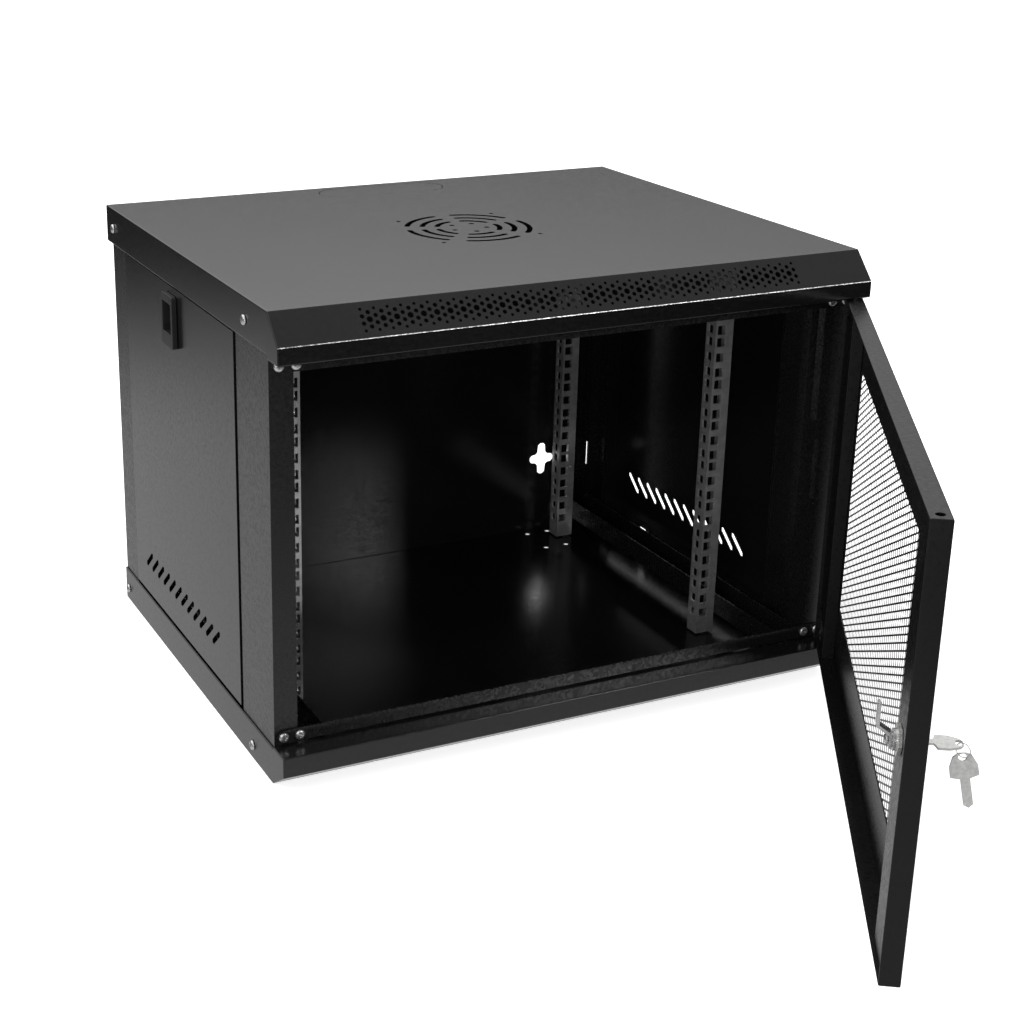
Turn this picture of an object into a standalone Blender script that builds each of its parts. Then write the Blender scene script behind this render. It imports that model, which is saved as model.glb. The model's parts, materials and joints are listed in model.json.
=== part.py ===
"""A wall-mount 19-inch network rack cabinet, 9 units high, with its vented door swung open.

Metres, +Z up, +X to the cabinet's right as seen from the front, -Y out of the front. The origin is on the
underside of the base tray, centred between the sides and between the top cover's front and back edges.
"""

import math

import bmesh
import bpy
from mathutils import Matrix, Vector

# Overall size
WIDTH = 0.600
HEIGHT = 0.440
FRONT_Y = -0.250
COVER_BACK_Y = 0.250
BASE_BACK_Y = 0.236

# Sheet metal
SHEET = 0.0012
FRAME_SHEET = 0.0015
RAIL_SHEET = 0.0020
GAP = 0.0003

# Top cover
COVER_SLOPE_DEPTH = 0.024
COVER_SLOPE_DROP = 0.026
COVER_FASCIA_BOTTOM = 0.398
COVER_SKIRT_BOTTOM = 0.402
LEDGE_DEPTH = 0.026
SLOPE_HOLE_PITCH = 0.0125
SLOPE_HOLE_COLUMNS = 35
SLOPE_HOLE_RADIUS = 0.0023
FAN_SLOTS = ((0.0582, 0.0638, 28), (0.0432, 0.0488, 28), (0.0285, 0.0341, 27))
FAN_INNER_HOLE_RADIUS = 0.0185
FAN_SCREW_SPACING = 0.105
FAN_CENTRE_Y = 0.003
KNOCKOUT_LENGTH = 0.145
KNOCKOUT_WIDTH = 0.046
KNOCKOUT_Y = 0.215

# Base tray
BASE_SLOPE_DEPTH = 0.028
BASE_SLOPE_RISE = 0.019
BASE_FASCIA_TOP = 0.038
BASE_RIM_TOP = 0.036
FOOT_HOLE_X = 0.2137
FOOT_HOLE_Y = 0.198
FOOT_HOLE_SPACING = (0.027, 0.047)
FOOT_HOLE_RADIUS = 0.0032
RIM_HOLE_PLACE = (0.119, 0.0305)
RIM_HOLE_LENGTH = 0.014
RIM_HOLE_HEIGHT = 0.006

# Corner posts: outer face, front face and the two returns
POST_X = WIDTH / 2 - SHEET - 0.0004
POST_FACE_WIDTH = 0.0224
POST_LIP_DEPTH = 0.028
REAR_POST_LIP_DEPTH = 0.011
FRONT_POST_Y = FRONT_Y + LEDGE_DEPTH + GAP
FRONT_POST_SIDE = 0.080
REAR_POST_FRONT_Y = 0.190
REAR_POST_BACK_Y = 0.2325
POST_RETURN = 0.0144
POST_BOTTOM = SHEET + GAP
FRONT_POST_BOTTOM = 0.003
POST_TOP = HEIGHT - SHEET - GAP
CAM_NOTCH_HALF_HEIGHT = 0.032

# Crossbars across the front
BAR_HEIGHT = 0.0124
BAR_SHEET = 0.0017
BAR_LENGTH = 0.592
BAR_SCREW_INSET = (0.006, 0.0215)

# Side panels
PANEL_FRONT_Y = -0.139
PANEL_BACK_Y = 0.1885
PANEL_BOTTOM = 0.0395
PANEL_TOP = 0.4005
PANEL_X = WIDTH / 2 - 0.0008
PANEL_RETURN = 0.012
SLOT_COUNT = 12
SLOT_PITCH = 0.0194
SLOT_LENGTH = 0.030
SLOT_WIDTH = 0.0055
SLOT_Z = 0.0795
SLOT_ROW_Y = 0.036
LATCH_Y = 0.036
LATCH_Z = 0.368
LATCH_SIZE = (0.034, 0.052)
LATCH_TRAVEL = 0.006

# Back panel
BACK_PANEL_Y = REAR_POST_BACK_Y + GAP
KEYHOLE_X = 0.222
KEYHOLE_Z = (0.092, 0.348)
SLIT_X = 0.2850

# Equipment rails, to the 19-inch standard
RAIL_OPENING = 0.4508
RAIL_HOLE_SPACING = 0.4651
RAIL_FACE = 0.021
RAIL_DEPTH = 0.017
RAIL_BOTTOM = 0.003
RAIL_TOP = 0.437
FRONT_RAIL_Y = -0.109
REAR_RAIL_Y = 0.195
UNIT = 0.04445
UNIT_COUNT = 9
UNIT_START_Z = 0.020
UNIT_HOLES = (0.00635, 0.022225, 0.0381)
RAIL_HOLE = 0.0095

# Rail brackets between the posts
BRACKET_Z = (0.024, 0.416)
BRACKET_HEIGHT = 0.022
BRACKET_SHEET = 0.0015

# Door, drawn shut: its plane runs along X and it turns about a vertical pin line
DOOR_OPEN_DEG = 57.5
DOOR_HALF_WIDTH = 0.297
DOOR_BOTTOM = 0.0395
DOOR_TOP = 0.3965
DOOR_DEPTH = 0.016
HINGE_X = 0.288
HINGE_Y = FRONT_Y + DOOR_DEPTH / 2
HINGE_PIN_RADIUS = 0.003
HINGE_PIN_TRAVEL = 0.008
WINDOW_SIDE_MARGIN = 0.057
WINDOW_END_MARGIN = 0.057
MESH_OVERLAP = 0.003
MESH_ROWS = 12
MESH_COLUMNS = 6
MESH_WEB = 0.0035
STIFFENER_DEPTH = 0.0115
LOCK_STIFFENER_WIDTH = 0.052
HINGE_STIFFENER_WIDTH = 0.052

# Lock and keys
LOCK_X = -DOOR_HALF_WIDTH + 0.035
LOCK_Z = (DOOR_BOTTOM + DOOR_TOP) / 2
LOCK_BODY_RADIUS = 0.008
LOCK_PLUG_RADIUS = 0.0052
LOCK_BODY_LENGTH = 0.019
CAM_LENGTH = 0.028
CAM_WIDTH = 0.009
CAM_SHEET = 0.002
CAM_BACK_Y = 0.029
KEY_SHEET = 0.0018
KEY_HOLE_Y = -0.0260
RING_RADIUS = 0.0054
RING_WIRE = 0.0005
RING_CHORD = 0.0040
RING_TURN = math.radians(35)
RING_STEPS = 20
RING_SIDES = 6

# Fasteners
SCREW_HEAD_RADIUS = 0.0047
SCREW_HEAD_HEIGHT = 0.0026
SCREW_SHANK_RADIUS = 0.0025
SCREW_SIDES = 10
HOLE_SIDES = 8


# ---------------------------------------------------------------- materials

def material(name, colour, metallic, roughness):
    made = bpy.data.materials.new(name)
    made.use_nodes = True
    shader = made.node_tree.nodes["Principled BSDF"]
    shader.inputs["Base Color"].default_value = (*colour, 1.0)
    shader.inputs["Metallic"].default_value = metallic
    shader.inputs["Roughness"].default_value = roughness
    made.diffuse_color = (*colour, 1.0)
    return made


def clear_scene():
    for item in list(bpy.data.objects):
        bpy.data.objects.remove(item, do_unlink=True)


# ---------------------------------------------------------------- solids as bmesh

def box(low, high):
    """An axis-aligned box between two corners."""
    solid = bmesh.new()
    bmesh.ops.create_cube(solid, size=1.0)
    low, high = Vector(low), Vector(high)
    centre = (low + high) / 2
    for vertex in solid.verts:
        vertex.co = Vector(c * s for c, s in zip(vertex.co, high - low)) + centre
    return solid


def place(plane, u, v, w):
    """A point from two in-plane coordinates and one along the extrusion."""
    return {"XY": (u, v, w), "XZ": (u, w, v), "YZ": (w, u, v)}[plane]


def prism(outline, low, high, plane):
    """A closed outline extruded from low to high, square to its plane."""
    solid = bmesh.new()
    bottom = [solid.verts.new(place(plane, u, v, low)) for u, v in outline]
    top = [solid.verts.new(place(plane, u, v, high)) for u, v in outline]
    solid.faces.new(bottom)
    solid.faces.new(top)
    count = len(outline)
    for i in range(count):
        j = (i + 1) % count
        solid.faces.new((bottom[i], bottom[j], top[j], top[i]))
    bmesh.ops.recalc_face_normals(solid, faces=solid.faces)
    return solid


def circle(centre, radius, sides, turn=0.0):
    return [
        (
            centre[0] + radius * math.cos(turn + 2 * math.pi * i / sides),
            centre[1] + radius * math.sin(turn + 2 * math.pi * i / sides),
        )
        for i in range(sides)
    ]


def rectangle(low, high):
    return [(low[0], low[1]), (high[0], low[1]), (high[0], high[1]), (low[0], high[1])]


def rounded_rectangle(centre, size, radius, steps=2):
    """A rectangle with round corners."""
    points = []
    for number, (su, sv) in enumerate(((1, 1), (-1, 1), (-1, -1), (1, -1))):
        for i in range(steps + 1):
            turn = math.pi / 2 * (number + i / steps)
            u = su * (size[0] / 2 - radius) + radius * math.cos(turn)
            v = sv * (size[1] / 2 - radius) + radius * math.sin(turn)
            points.append((centre[0] + u, centre[1] + v))
    return points


def stadium(centre, length, width, angle=0.0, steps=4):
    """A slot with round ends, lying at an angle."""
    radius = width / 2
    reach = length / 2 - radius
    points = []
    for side in (1, -1):
        for i in range(steps + 1):
            turn = -math.pi / 2 + math.pi * i / steps + (0 if side == 1 else math.pi)
            points.append((side * reach + radius * math.cos(turn), radius * math.sin(turn)))
    c, s = math.cos(angle), math.sin(angle)
    return [(centre[0] + u * c - v * s, centre[1] + u * s + v * c) for u, v in points]


def arc_slot(centre, inner, outer, middle_deg, half_deg, steps=4):
    """A curved slot between two radii."""
    low = math.radians(middle_deg - half_deg)
    high = math.radians(middle_deg + half_deg)
    turns = [low + (high - low) * i / steps for i in range(steps + 1)]
    outside = [(centre[0] + outer * math.cos(t), centre[1] + outer * math.sin(t)) for t in turns]
    inside = [(centre[0] + inner * math.cos(t), centre[1] + inner * math.sin(t)) for t in turns]
    return outside + inside[::-1]


def folded(path, thickness, low, high):
    """A strip of sheet that follows a path in plan, with the sheet on the path's left, extruded upwards."""
    left = []
    for i, point in enumerate(path):
        here = Vector(point)
        before = (here - Vector(path[i - 1])).normalized() if i else None
        after = (Vector(path[i + 1]) - here).normalized() if i < len(path) - 1 else None
        normals = [Vector((-d.y, d.x)) for d in (before, after) if d is not None]
        if len(normals) == 2:
            shift = (normals[0] + normals[1]) / (1 + normals[0].dot(normals[1]))
        else:
            shift = normals[0]
        left.append(tuple(here + shift * thickness))
    return prism(list(path) + left[::-1], low, high, "XY")


def turned(profile, sides, axis_point, plane):
    """A solid of revolution from (radius, height) points; the first and last radius are zero."""
    solid = bmesh.new()
    rings = []
    for radius, height in profile:
        if radius == 0:
            rings.append([solid.verts.new(place(plane, *axis_point, height))])
            continue
        ring = circle(axis_point, radius, sides)
        rings.append([solid.verts.new(place(plane, u, v, height)) for u, v in ring])
    for lower, upper in zip(rings, rings[1:]):
        for i in range(sides):
            j = (i + 1) % sides
            if len(lower) == 1:
                solid.faces.new((lower[0], upper[i], upper[j]))
            elif len(upper) == 1:
                solid.faces.new((lower[i], lower[j], upper[0]))
            else:
                solid.faces.new((lower[i], lower[j], upper[j], upper[i]))
    bmesh.ops.recalc_face_normals(solid, faces=solid.faces)
    return solid


def mirrored_x(solid):
    bmesh.ops.transform(solid, matrix=Matrix.Scale(-1, 4, (1, 0, 0)), verts=solid.verts)
    bmesh.ops.reverse_faces(solid, faces=solid.faces)
    return solid


# ---------------------------------------------------------------- objects

def mesh_of(name, solids):
    """One mesh that holds several bmesh solids."""
    mesh = bpy.data.meshes.new(name)
    whole = bmesh.new()
    for solid in solids:
        piece = bpy.data.meshes.new("piece")
        solid.to_mesh(piece)
        whole.from_mesh(piece)
        solid.free()
        bpy.data.meshes.remove(piece)
    whole.to_mesh(mesh)
    whole.free()
    return mesh


def show(name, solid, finish, parent=None, smooth=False):
    """A visible object, which becomes one node."""
    made = bpy.data.objects.new(name, mesh_of(name, [solid]))
    bpy.context.scene.collection.objects.link(made)
    made.data.materials.append(finish)
    if smooth:
        made.data.shade_smooth()
        made.data.set_sharp_from_angle(angle=math.radians(35))
    if parent is not None:
        made.parent = parent
        made.matrix_parent_inverse = Matrix.Translation(-Vector(parent.location))
    return made


def shape_with(target, solids, operation):
    """Adds a Boolean to the target whose other operand is a hidden helper made of the given solids."""
    helper = bpy.data.objects.new(f"{target.name}_{operation.lower()}", mesh_of("helper", solids))
    bpy.context.scene.collection.objects.link(helper)
    helper.hide_render = True
    helper.display_type = "WIRE"
    if target.parent is not None:
        helper.parent = target.parent
        helper.matrix_parent_inverse = Matrix.Translation(-Vector(target.parent.location))
    modifier = target.modifiers.new(operation.title(), "BOOLEAN")
    modifier.operation = operation
    modifier.solver = "EXACT"
    modifier.object = helper


def cut(target, solids):
    shape_with(target, solids, "DIFFERENCE")


def weld(target, solids):
    for solid in solids:
        shape_with(target, [solid], "UNION")


def axis_empty(name, location, turn_deg=0.0):
    """An empty on a joint's axis; everything parented to it is drawn at the joint's zero position."""
    made = bpy.data.objects.new(name, None)
    bpy.context.scene.collection.objects.link(made)
    made.location = location
    made.rotation_euler.z = math.radians(turn_deg)
    return made


# ---------------------------------------------------------------- screws

def cover_screw_places():
    """Side screws of the top cover and of the base: (name, side, y, z)."""
    places = []
    for side, side_name in ((-1, "left"), (1, "right")):
        for y, y_name in ((FRONT_Y + 0.078, "front"), (FRONT_Y + 0.474, "rear")):
            places.append((f"cover_screw_{y_name}_{side_name}", side, y, 0.4195))
            places.append((f"base_screw_{y_name}_{side_name}", side, y, 0.0145))
    return places


def bar_screw_places():
    """Front crossbar screws: (name, x, z)."""
    places = []
    for z, z_name in ((bar_middle(False), "bottom"), (bar_middle(True), "top")):
        for side, side_name in ((-1, "left"), (1, "right")):
            for number, inset in enumerate(BAR_SCREW_INSET, 1):
                x = side * (BAR_LENGTH / 2 - inset)
                places.append((f"bar_screw_{z_name}_{side_name}_{number}", x, z))
    return places


def bar_middle(top):
    if top:
        return COVER_FASCIA_BOTTOM - GAP - BAR_HEIGHT / 2
    return BASE_FASCIA_TOP + 0.002 + BAR_HEIGHT / 2


def screw(centre, seat, direction, plane):
    """A pan-head screw whose head rests on the seat and points along the direction (+1 or -1)."""
    head = seat + direction * GAP
    profile = [
        (0, head - direction * 0.0055),
        (SCREW_SHANK_RADIUS - GAP, head - direction * 0.0055),
        (SCREW_SHANK_RADIUS - GAP, head),
        (SCREW_HEAD_RADIUS, head),
        (SCREW_HEAD_RADIUS, head + direction * SCREW_HEAD_HEIGHT * 0.45),
        (SCREW_HEAD_RADIUS * 0.72, head + direction * SCREW_HEAD_HEIGHT * 0.9),
        (0, head + direction * SCREW_HEAD_HEIGHT),
    ]
    return turned(profile, SCREW_SIDES, centre, plane)


def side_screw_holes(side):
    """Cutters for one side's cover and base screws."""
    low, high = sorted((side * (WIDTH / 2 - 0.008), side * (WIDTH / 2 + 0.004)))
    return [
        prism(circle((y, z), SCREW_SHANK_RADIUS + GAP / 2, HOLE_SIDES, math.pi / 8), low, high, "YZ")
        for _, place_side, y, z in cover_screw_places()
        if place_side == side
    ]


def bar_screw_holes():
    return [
        prism(
            circle((x, z), SCREW_SHANK_RADIUS + GAP / 2, HOLE_SIDES, math.pi / 8),
            FRONT_Y + 0.020,
            FRONT_Y + 0.036,
            "XZ",
        )
        for _, x, z in bar_screw_places()
    ]


def make_screws(zinc):
    for name, side, y, z in cover_screw_places():
        show(name, screw((y, z), side * WIDTH / 2, side, "YZ"), zinc, smooth=True)
    seat = FRONT_POST_Y - GAP - BAR_SHEET
    for name, x, z in bar_screw_places():
        show(name, screw((x, z), seat, -1, "XZ"), zinc, smooth=True)


# ---------------------------------------------------------------- top cover and base

def make_top_cover(paint):
    half = WIDTH / 2
    ledge_y = FRONT_Y + LEDGE_DEPTH
    slope_top = (FRONT_Y + COVER_SLOPE_DEPTH, HEIGHT)
    slope_bottom = (FRONT_Y, HEIGHT - COVER_SLOPE_DROP)
    outline = [
        (FRONT_Y, COVER_FASCIA_BOTTOM),
        slope_bottom,
        slope_top,
        (COVER_BACK_Y, HEIGHT),
        (COVER_BACK_Y, COVER_SKIRT_BOTTOM),
        (ledge_y, COVER_SKIRT_BOTTOM),
        (ledge_y, COVER_FASCIA_BOTTOM),
    ]
    cover = show("top_cover", prism(outline, -half, half, "YZ"), paint)
    lean = SHEET * 0.45
    hollow = [
        (FRONT_Y + SHEET, COVER_FASCIA_BOTTOM + SHEET),
        (FRONT_Y + SHEET, slope_bottom[1] - lean),
        (slope_top[0] + lean, HEIGHT - SHEET),
        (COVER_BACK_Y - SHEET, HEIGHT - SHEET),
        (COVER_BACK_Y - SHEET, COVER_FASCIA_BOTTOM - 0.01),
        (ledge_y, COVER_FASCIA_BOTTOM - 0.01),
        (ledge_y, COVER_FASCIA_BOTTOM + SHEET),
    ]
    cut(cover, [prism(hollow, SHEET - half, half - SHEET, "YZ")])
    holes = fan_cutters() + slope_cutters()
    holes.append(prism(knockout_outline(0), HEIGHT - 0.01, HEIGHT + 0.01, "XY"))
    holes.append(hinge_hole(COVER_FASCIA_BOTTOM - 0.002, COVER_FASCIA_BOTTOM + 0.004))
    cut(cover, holes + side_screw_holes(-1) + side_screw_holes(1))


def knockout_outline(shrink):
    return stadium((0, KNOCKOUT_Y), KNOCKOUT_LENGTH - 2 * shrink, KNOCKOUT_WIDTH - 2 * shrink, steps=6)


def make_top_knockout(paint):
    plate = prism(knockout_outline(0.0004), HEIGHT - SHEET, HEIGHT, "XY")
    show("top_knockout", plate, paint)


def fan_cutters():
    centre = (0, FAN_CENTRE_Y)
    low, high = HEIGHT - 0.004, HEIGHT + 0.004
    cutters = []
    for number in range(5):
        middle = -90 + 72 * number
        for inner, outer, half_angle in FAN_SLOTS:
            slot = arc_slot(centre, inner, outer, middle, half_angle)
            cutters.append(prism(slot, low, high, "XY"))
        turn = math.radians(middle)
        x = centre[0] + FAN_INNER_HOLE_RADIUS * math.cos(turn)
        y = centre[1] + FAN_INNER_HOLE_RADIUS * math.sin(turn)
        cutters.append(prism(circle((x, y), 0.0027, 6), low, high, "XY"))
    for sx in (-1, 1):
        for sy in (-1, 1):
            hole = (sx * FAN_SCREW_SPACING / 2, FAN_CENTRE_Y + sy * FAN_SCREW_SPACING / 2)
            cutters.append(prism(circle(hole, 0.0022, 6), low, high, "XY"))
    return cutters


def slope_cutters():
    """One row of holes square to the sloping strip of the cover."""
    slope = math.atan2(COVER_SLOPE_DROP, COVER_SLOPE_DEPTH)
    middle = (FRONT_Y + COVER_SLOPE_DEPTH / 2, HEIGHT - COVER_SLOPE_DROP / 2)
    cutters = []
    for number in range(SLOPE_HOLE_COLUMNS):
        x = (number - (SLOPE_HOLE_COLUMNS - 1) / 2) * SLOPE_HOLE_PITCH
        cutter = prism(circle((0, 0), SLOPE_HOLE_RADIUS, 6), -0.004, 0.004, "XY")
        turn = Matrix.Rotation(slope, 4, "X")
        move = Matrix.Translation((x, *middle))
        bmesh.ops.transform(cutter, matrix=move @ turn, verts=cutter.verts)
        cutters.append(cutter)
    return cutters


def hinge_hole(low, high, x=HINGE_X):
    return prism(circle((x, HINGE_Y), HINGE_PIN_RADIUS + 0.0005, 12), low, high, "XY")


def make_base_tray(paint):
    half = WIDTH / 2
    ledge_y = FRONT_Y + LEDGE_DEPTH
    outline = [
        (FRONT_Y + BASE_SLOPE_DEPTH, 0),
        (FRONT_Y, BASE_SLOPE_RISE),
        (FRONT_Y, BASE_FASCIA_TOP),
        (ledge_y, BASE_FASCIA_TOP),
        (ledge_y, BASE_RIM_TOP),
        (BASE_BACK_Y, BASE_RIM_TOP),
        (BASE_BACK_Y, 0),
    ]
    base = show("base_tray", prism(outline, -half, half, "YZ"), paint)
    lean = SHEET * 0.8
    hollow = [
        (FRONT_Y + BASE_SLOPE_DEPTH + SHEET * 0.3, SHEET),
        (FRONT_Y + SHEET, BASE_SLOPE_RISE + lean),
        (FRONT_Y + SHEET, BASE_FASCIA_TOP - SHEET),
        (ledge_y, BASE_FASCIA_TOP - SHEET),
        (ledge_y, BASE_FASCIA_TOP + 0.01),
        (BASE_BACK_Y - SHEET, BASE_FASCIA_TOP + 0.01),
        (BASE_BACK_Y - SHEET, SHEET),
    ]
    cut(base, [prism(hollow, SHEET - half, half - SHEET, "YZ")])
    holes = [hinge_hole(BASE_FASCIA_TOP - 0.004, BASE_FASCIA_TOP + 0.002)]
    for sx in (-1, 1):
        for sy in (-1, 1):
            for ux in (-0.5, 0.5):
                for uy in (-0.5, 0.5):
                    x = sx * FOOT_HOLE_X + ux * FOOT_HOLE_SPACING[0]
                    y = sy * FOOT_HOLE_Y + uy * FOOT_HOLE_SPACING[1]
                    holes.append(prism(circle((x, y), FOOT_HOLE_RADIUS, 6), -0.002, 0.004, "XY"))
    rim_hole = stadium(RIM_HOLE_PLACE, RIM_HOLE_LENGTH, RIM_HOLE_HEIGHT)
    holes.append(prism(rim_hole, half - 0.004, half + 0.004, "YZ"))
    cut(base, holes + side_screw_holes(-1) + side_screw_holes(1))


# ---------------------------------------------------------------- frame

def make_front_post(side, side_name, paint):
    inner_x = POST_X - POST_FACE_WIDTH
    path = [
        (inner_x, FRONT_POST_Y + POST_LIP_DEPTH),
        (inner_x, FRONT_POST_Y),
        (POST_X, FRONT_POST_Y),
        (POST_X, FRONT_POST_Y + FRONT_POST_SIDE),
        (POST_X - POST_RETURN, FRONT_POST_Y + FRONT_POST_SIDE),
    ]
    solid = folded(path, FRAME_SHEET, FRONT_POST_BOTTOM, POST_TOP)
    if side < 0:
        solid = mirrored_x(solid)
    post = show(f"front_{side_name}_post", solid, paint)
    low, high = sorted((side * (inner_x - 0.004), side * (inner_x + 0.006)))
    lip_y = FRONT_POST_Y + FRAME_SHEET + GAP
    notch_low, notch_high = LOCK_Z - CAM_NOTCH_HALF_HEIGHT, LOCK_Z + CAM_NOTCH_HALF_HEIGHT
    notch = rectangle((lip_y, notch_low), (lip_y + 0.009, notch_high))
    long_slot = rectangle((lip_y + 0.006, 0.268), (lip_y + 0.018, 0.384))
    cut(post, [prism(shape, low, high, "YZ") for shape in (notch, long_slot)])
    cut(post, side_screw_holes(side) + bar_screw_holes())


def make_rear_post(side, side_name, paint):
    inner_x = POST_X - POST_FACE_WIDTH
    path = [
        (POST_X - POST_RETURN, REAR_POST_FRONT_Y),
        (POST_X, REAR_POST_FRONT_Y),
        (POST_X, REAR_POST_BACK_Y),
        (inner_x, REAR_POST_BACK_Y),
        (inner_x, REAR_POST_BACK_Y - REAR_POST_LIP_DEPTH),
    ]
    solid = folded(path, FRAME_SHEET, POST_BOTTOM, POST_TOP)
    if side < 0:
        solid = mirrored_x(solid)
    post = show(f"rear_{side_name}_post", solid, paint)
    cut(post, side_screw_holes(side) + slit_cutters(side))


def slit_cutters(side):
    """Narrow upright slits near the bottom and top of a rear corner."""
    return [
        prism(
            rectangle((side * SLIT_X - 0.0012, z - 0.015), (side * SLIT_X + 0.0012, z + 0.015)),
            REAR_POST_BACK_Y - 0.005,
            REAR_POST_BACK_Y + 0.005,
            "XZ",
        )
        for z in (0.091, 0.349)
    ]


def make_crossbar(name, middle_z, paint):
    outline = stadium((0, middle_z), BAR_LENGTH, BAR_HEIGHT)
    back = FRONT_POST_Y - GAP
    bar = show(name, prism(outline, back - BAR_SHEET, back, "XZ"), paint)
    cut(bar, bar_screw_holes())


def make_back_panel(paint):
    panel = show(
        "back_panel",
        box((-POST_X, BACK_PANEL_Y, POST_BOTTOM), (POST_X, BACK_PANEL_Y + SHEET, POST_TOP)),
        paint,
    )
    low, high = BACK_PANEL_Y - 0.004, BACK_PANEL_Y + 0.005
    keyholes = []
    for x in (-KEYHOLE_X, KEYHOLE_X):
        for z in KEYHOLE_Z:
            keyholes.append(prism(clover(x, z), low, high, "XZ"))
    cut(panel, keyholes + slit_cutters(-1) + slit_cutters(1))


def clover(x, z):
    """A hanging hole that takes a screw head in its middle and holds the shank in any of four lobes."""
    lobe, reach = 0.0055, 0.0105
    points = []
    for quarter in range(4):
        turn = quarter * math.pi / 2
        along = Vector((math.cos(turn), math.sin(turn)))
        across = Vector((-along.y, along.x))
        stretch = 1.35 if quarter % 2 else 1.0
        tip = along * reach * stretch
        points.append(along * 0.0080 - across * lobe)
        for step in (-60, -20, 20, 60):
            bend = math.radians(step)
            points.append(tip + lobe * (along * math.cos(bend) + across * math.sin(bend)))
        points.append(along * 0.0080 + across * lobe)
    return [(x + p.x, z + p.y) for p in points]


# ---------------------------------------------------------------- side panels and their latches

def make_side_panel(side, side_name, paint, parent):
    inner = PANEL_X - SHEET
    blank = box_between(
        side,
        inner - PANEL_RETURN,
        PANEL_X,
        (PANEL_FRONT_Y, PANEL_BACK_Y),
        (PANEL_BOTTOM, PANEL_TOP),
    )
    panel = show(f"{side_name}_side_panel", blank, paint, parent)
    hollow = box_between(
        side,
        inner - PANEL_RETURN - 0.01,
        inner,
        (PANEL_FRONT_Y + SHEET, PANEL_BACK_Y - SHEET),
        (PANEL_BOTTOM + SHEET, PANEL_TOP - SHEET),
    )
    cut(panel, [hollow])
    low, high = sorted((side * (PANEL_X - 0.006), side * (PANEL_X + 0.004)))
    lean = math.radians(140 if side < 0 else 40)
    openings = []
    for number in range(SLOT_COUNT):
        y = SLOT_ROW_Y + (number - (SLOT_COUNT - 1) / 2) * SLOT_PITCH
        slot = stadium((y, SLOT_Z), SLOT_LENGTH, SLOT_WIDTH, lean, steps=2)
        openings.append(prism(slot, low, high, "YZ"))
    openings.append(prism(rectangle(*latch_opening(side)), low, high, "YZ"))
    cut(panel, openings)


def box_between(side, inner_x, outer_x, y_range, z_range):
    """A box on one side of the cabinet, from an inner to an outer distance off the middle plane."""
    low, high = sorted((side * inner_x, side * outer_x))
    return box((low, y_range[0], z_range[0]), (high, y_range[1], z_range[1]))


def latch_y(side):
    """The right panel is the left one turned round, so its latch is mirrored about the panel's middle."""
    middle = (PANEL_FRONT_Y + PANEL_BACK_Y) / 2
    return middle - side * (LATCH_Y - middle)


def latch_opening(side):
    y = latch_y(side)
    return (
        (y - LATCH_SIZE[0] / 2 + 0.003, LATCH_Z - LATCH_SIZE[1] / 2 + 0.003),
        (y + LATCH_SIZE[0] / 2 - 0.003, LATCH_Z + LATCH_SIZE[1] / 2 - 0.003),
    )


def make_panel_latch(side, side_name, plastic, parent, slide_parent):
    y = latch_y(side)
    half_y, half_z = LATCH_SIZE[0] / 2, LATCH_SIZE[1] / 2
    face = PANEL_X + GAP
    neck = box_between(
        side,
        PANEL_X - 0.009,
        face + 0.001,
        (y - half_y + 0.0034, y + half_y - 0.0034),
        (LATCH_Z - half_z + 0.0034, LATCH_Z + half_z - 0.0034),
    )
    housing = show(f"{side_name}_latch_housing", neck, plastic, parent)
    low, high = sorted((side * face, side * (face + 0.0052)))
    plate = prism(rounded_rectangle((y, LATCH_Z), LATCH_SIZE, 0.004), low, high, "YZ")
    weld(housing, [plate])
    well = box_between(
        side,
        PANEL_X - 0.0078,
        face + 0.01,
        (y - 0.0125, y + 0.0125),
        (LATCH_Z - 0.0120, LATCH_Z + 0.0180),
    )
    bolt_path = box_between(
        side,
        PANEL_X - 0.0100,
        PANEL_X - 0.0036,
        (y - 0.0083, y + 0.0083),
        (LATCH_Z + 0.010, LATCH_Z + 0.030),
    )
    cut(housing, [well])
    cut(housing, [bolt_path])
    make_latch_slider(side, side_name, plastic, slide_parent)


def make_latch_slider(side, side_name, plastic, parent):
    """A pad with a finger ridge, and the tongue that hooks behind the frame above the panel."""
    y = latch_y(side)
    back, front = PANEL_X - 0.0073, PANEL_X - 0.0040
    pad = box_between(side, back, front, (y - 0.0120, y + 0.0120), (LATCH_Z - 0.0050, LATCH_Z + 0.0172))
    slider = show(f"{side_name}_latch_slider", pad, plastic, parent)
    tongue = box_between(side, back, front, (y - 0.0078, y + 0.0078), (LATCH_Z + 0.010, LATCH_Z + 0.030))
    ridge = box_between(
        side,
        front - 0.0005,
        PANEL_X - 0.0008,
        (y - 0.0100, y + 0.0100),
        (LATCH_Z - 0.0035, LATCH_Z - 0.0010),
    )
    weld(slider, [tongue, ridge])


# ---------------------------------------------------------------- rails and their brackets

def make_rail(side, side_name, front_y, place_name, zinc):
    """A U-shaped rail with its holed face to the front and both flanges running back."""
    inner = RAIL_OPENING / 2
    outer = inner + RAIL_FACE
    path = [
        (inner, front_y + RAIL_DEPTH),
        (inner, front_y),
        (outer, front_y),
        (outer, front_y + RAIL_DEPTH),
    ]
    solid = folded(path, RAIL_SHEET, RAIL_BOTTOM, RAIL_TOP)
    if side < 0:
        solid = mirrored_x(solid)
    rail = show(f"{place_name}_{side_name}_rail", solid, zinc)
    x = side * RAIL_HOLE_SPACING / 2
    half = RAIL_HOLE / 2
    holes = []
    for unit in range(UNIT_COUNT):
        for offset in UNIT_HOLES:
            z = UNIT_START_Z + unit * UNIT + offset
            square = rectangle((x - half, z - half), (x + half, z + half))
            holes.append(prism(square, front_y - 0.002, front_y + RAIL_SHEET + 0.002, "XZ"))
    cut(rail, holes)


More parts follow.
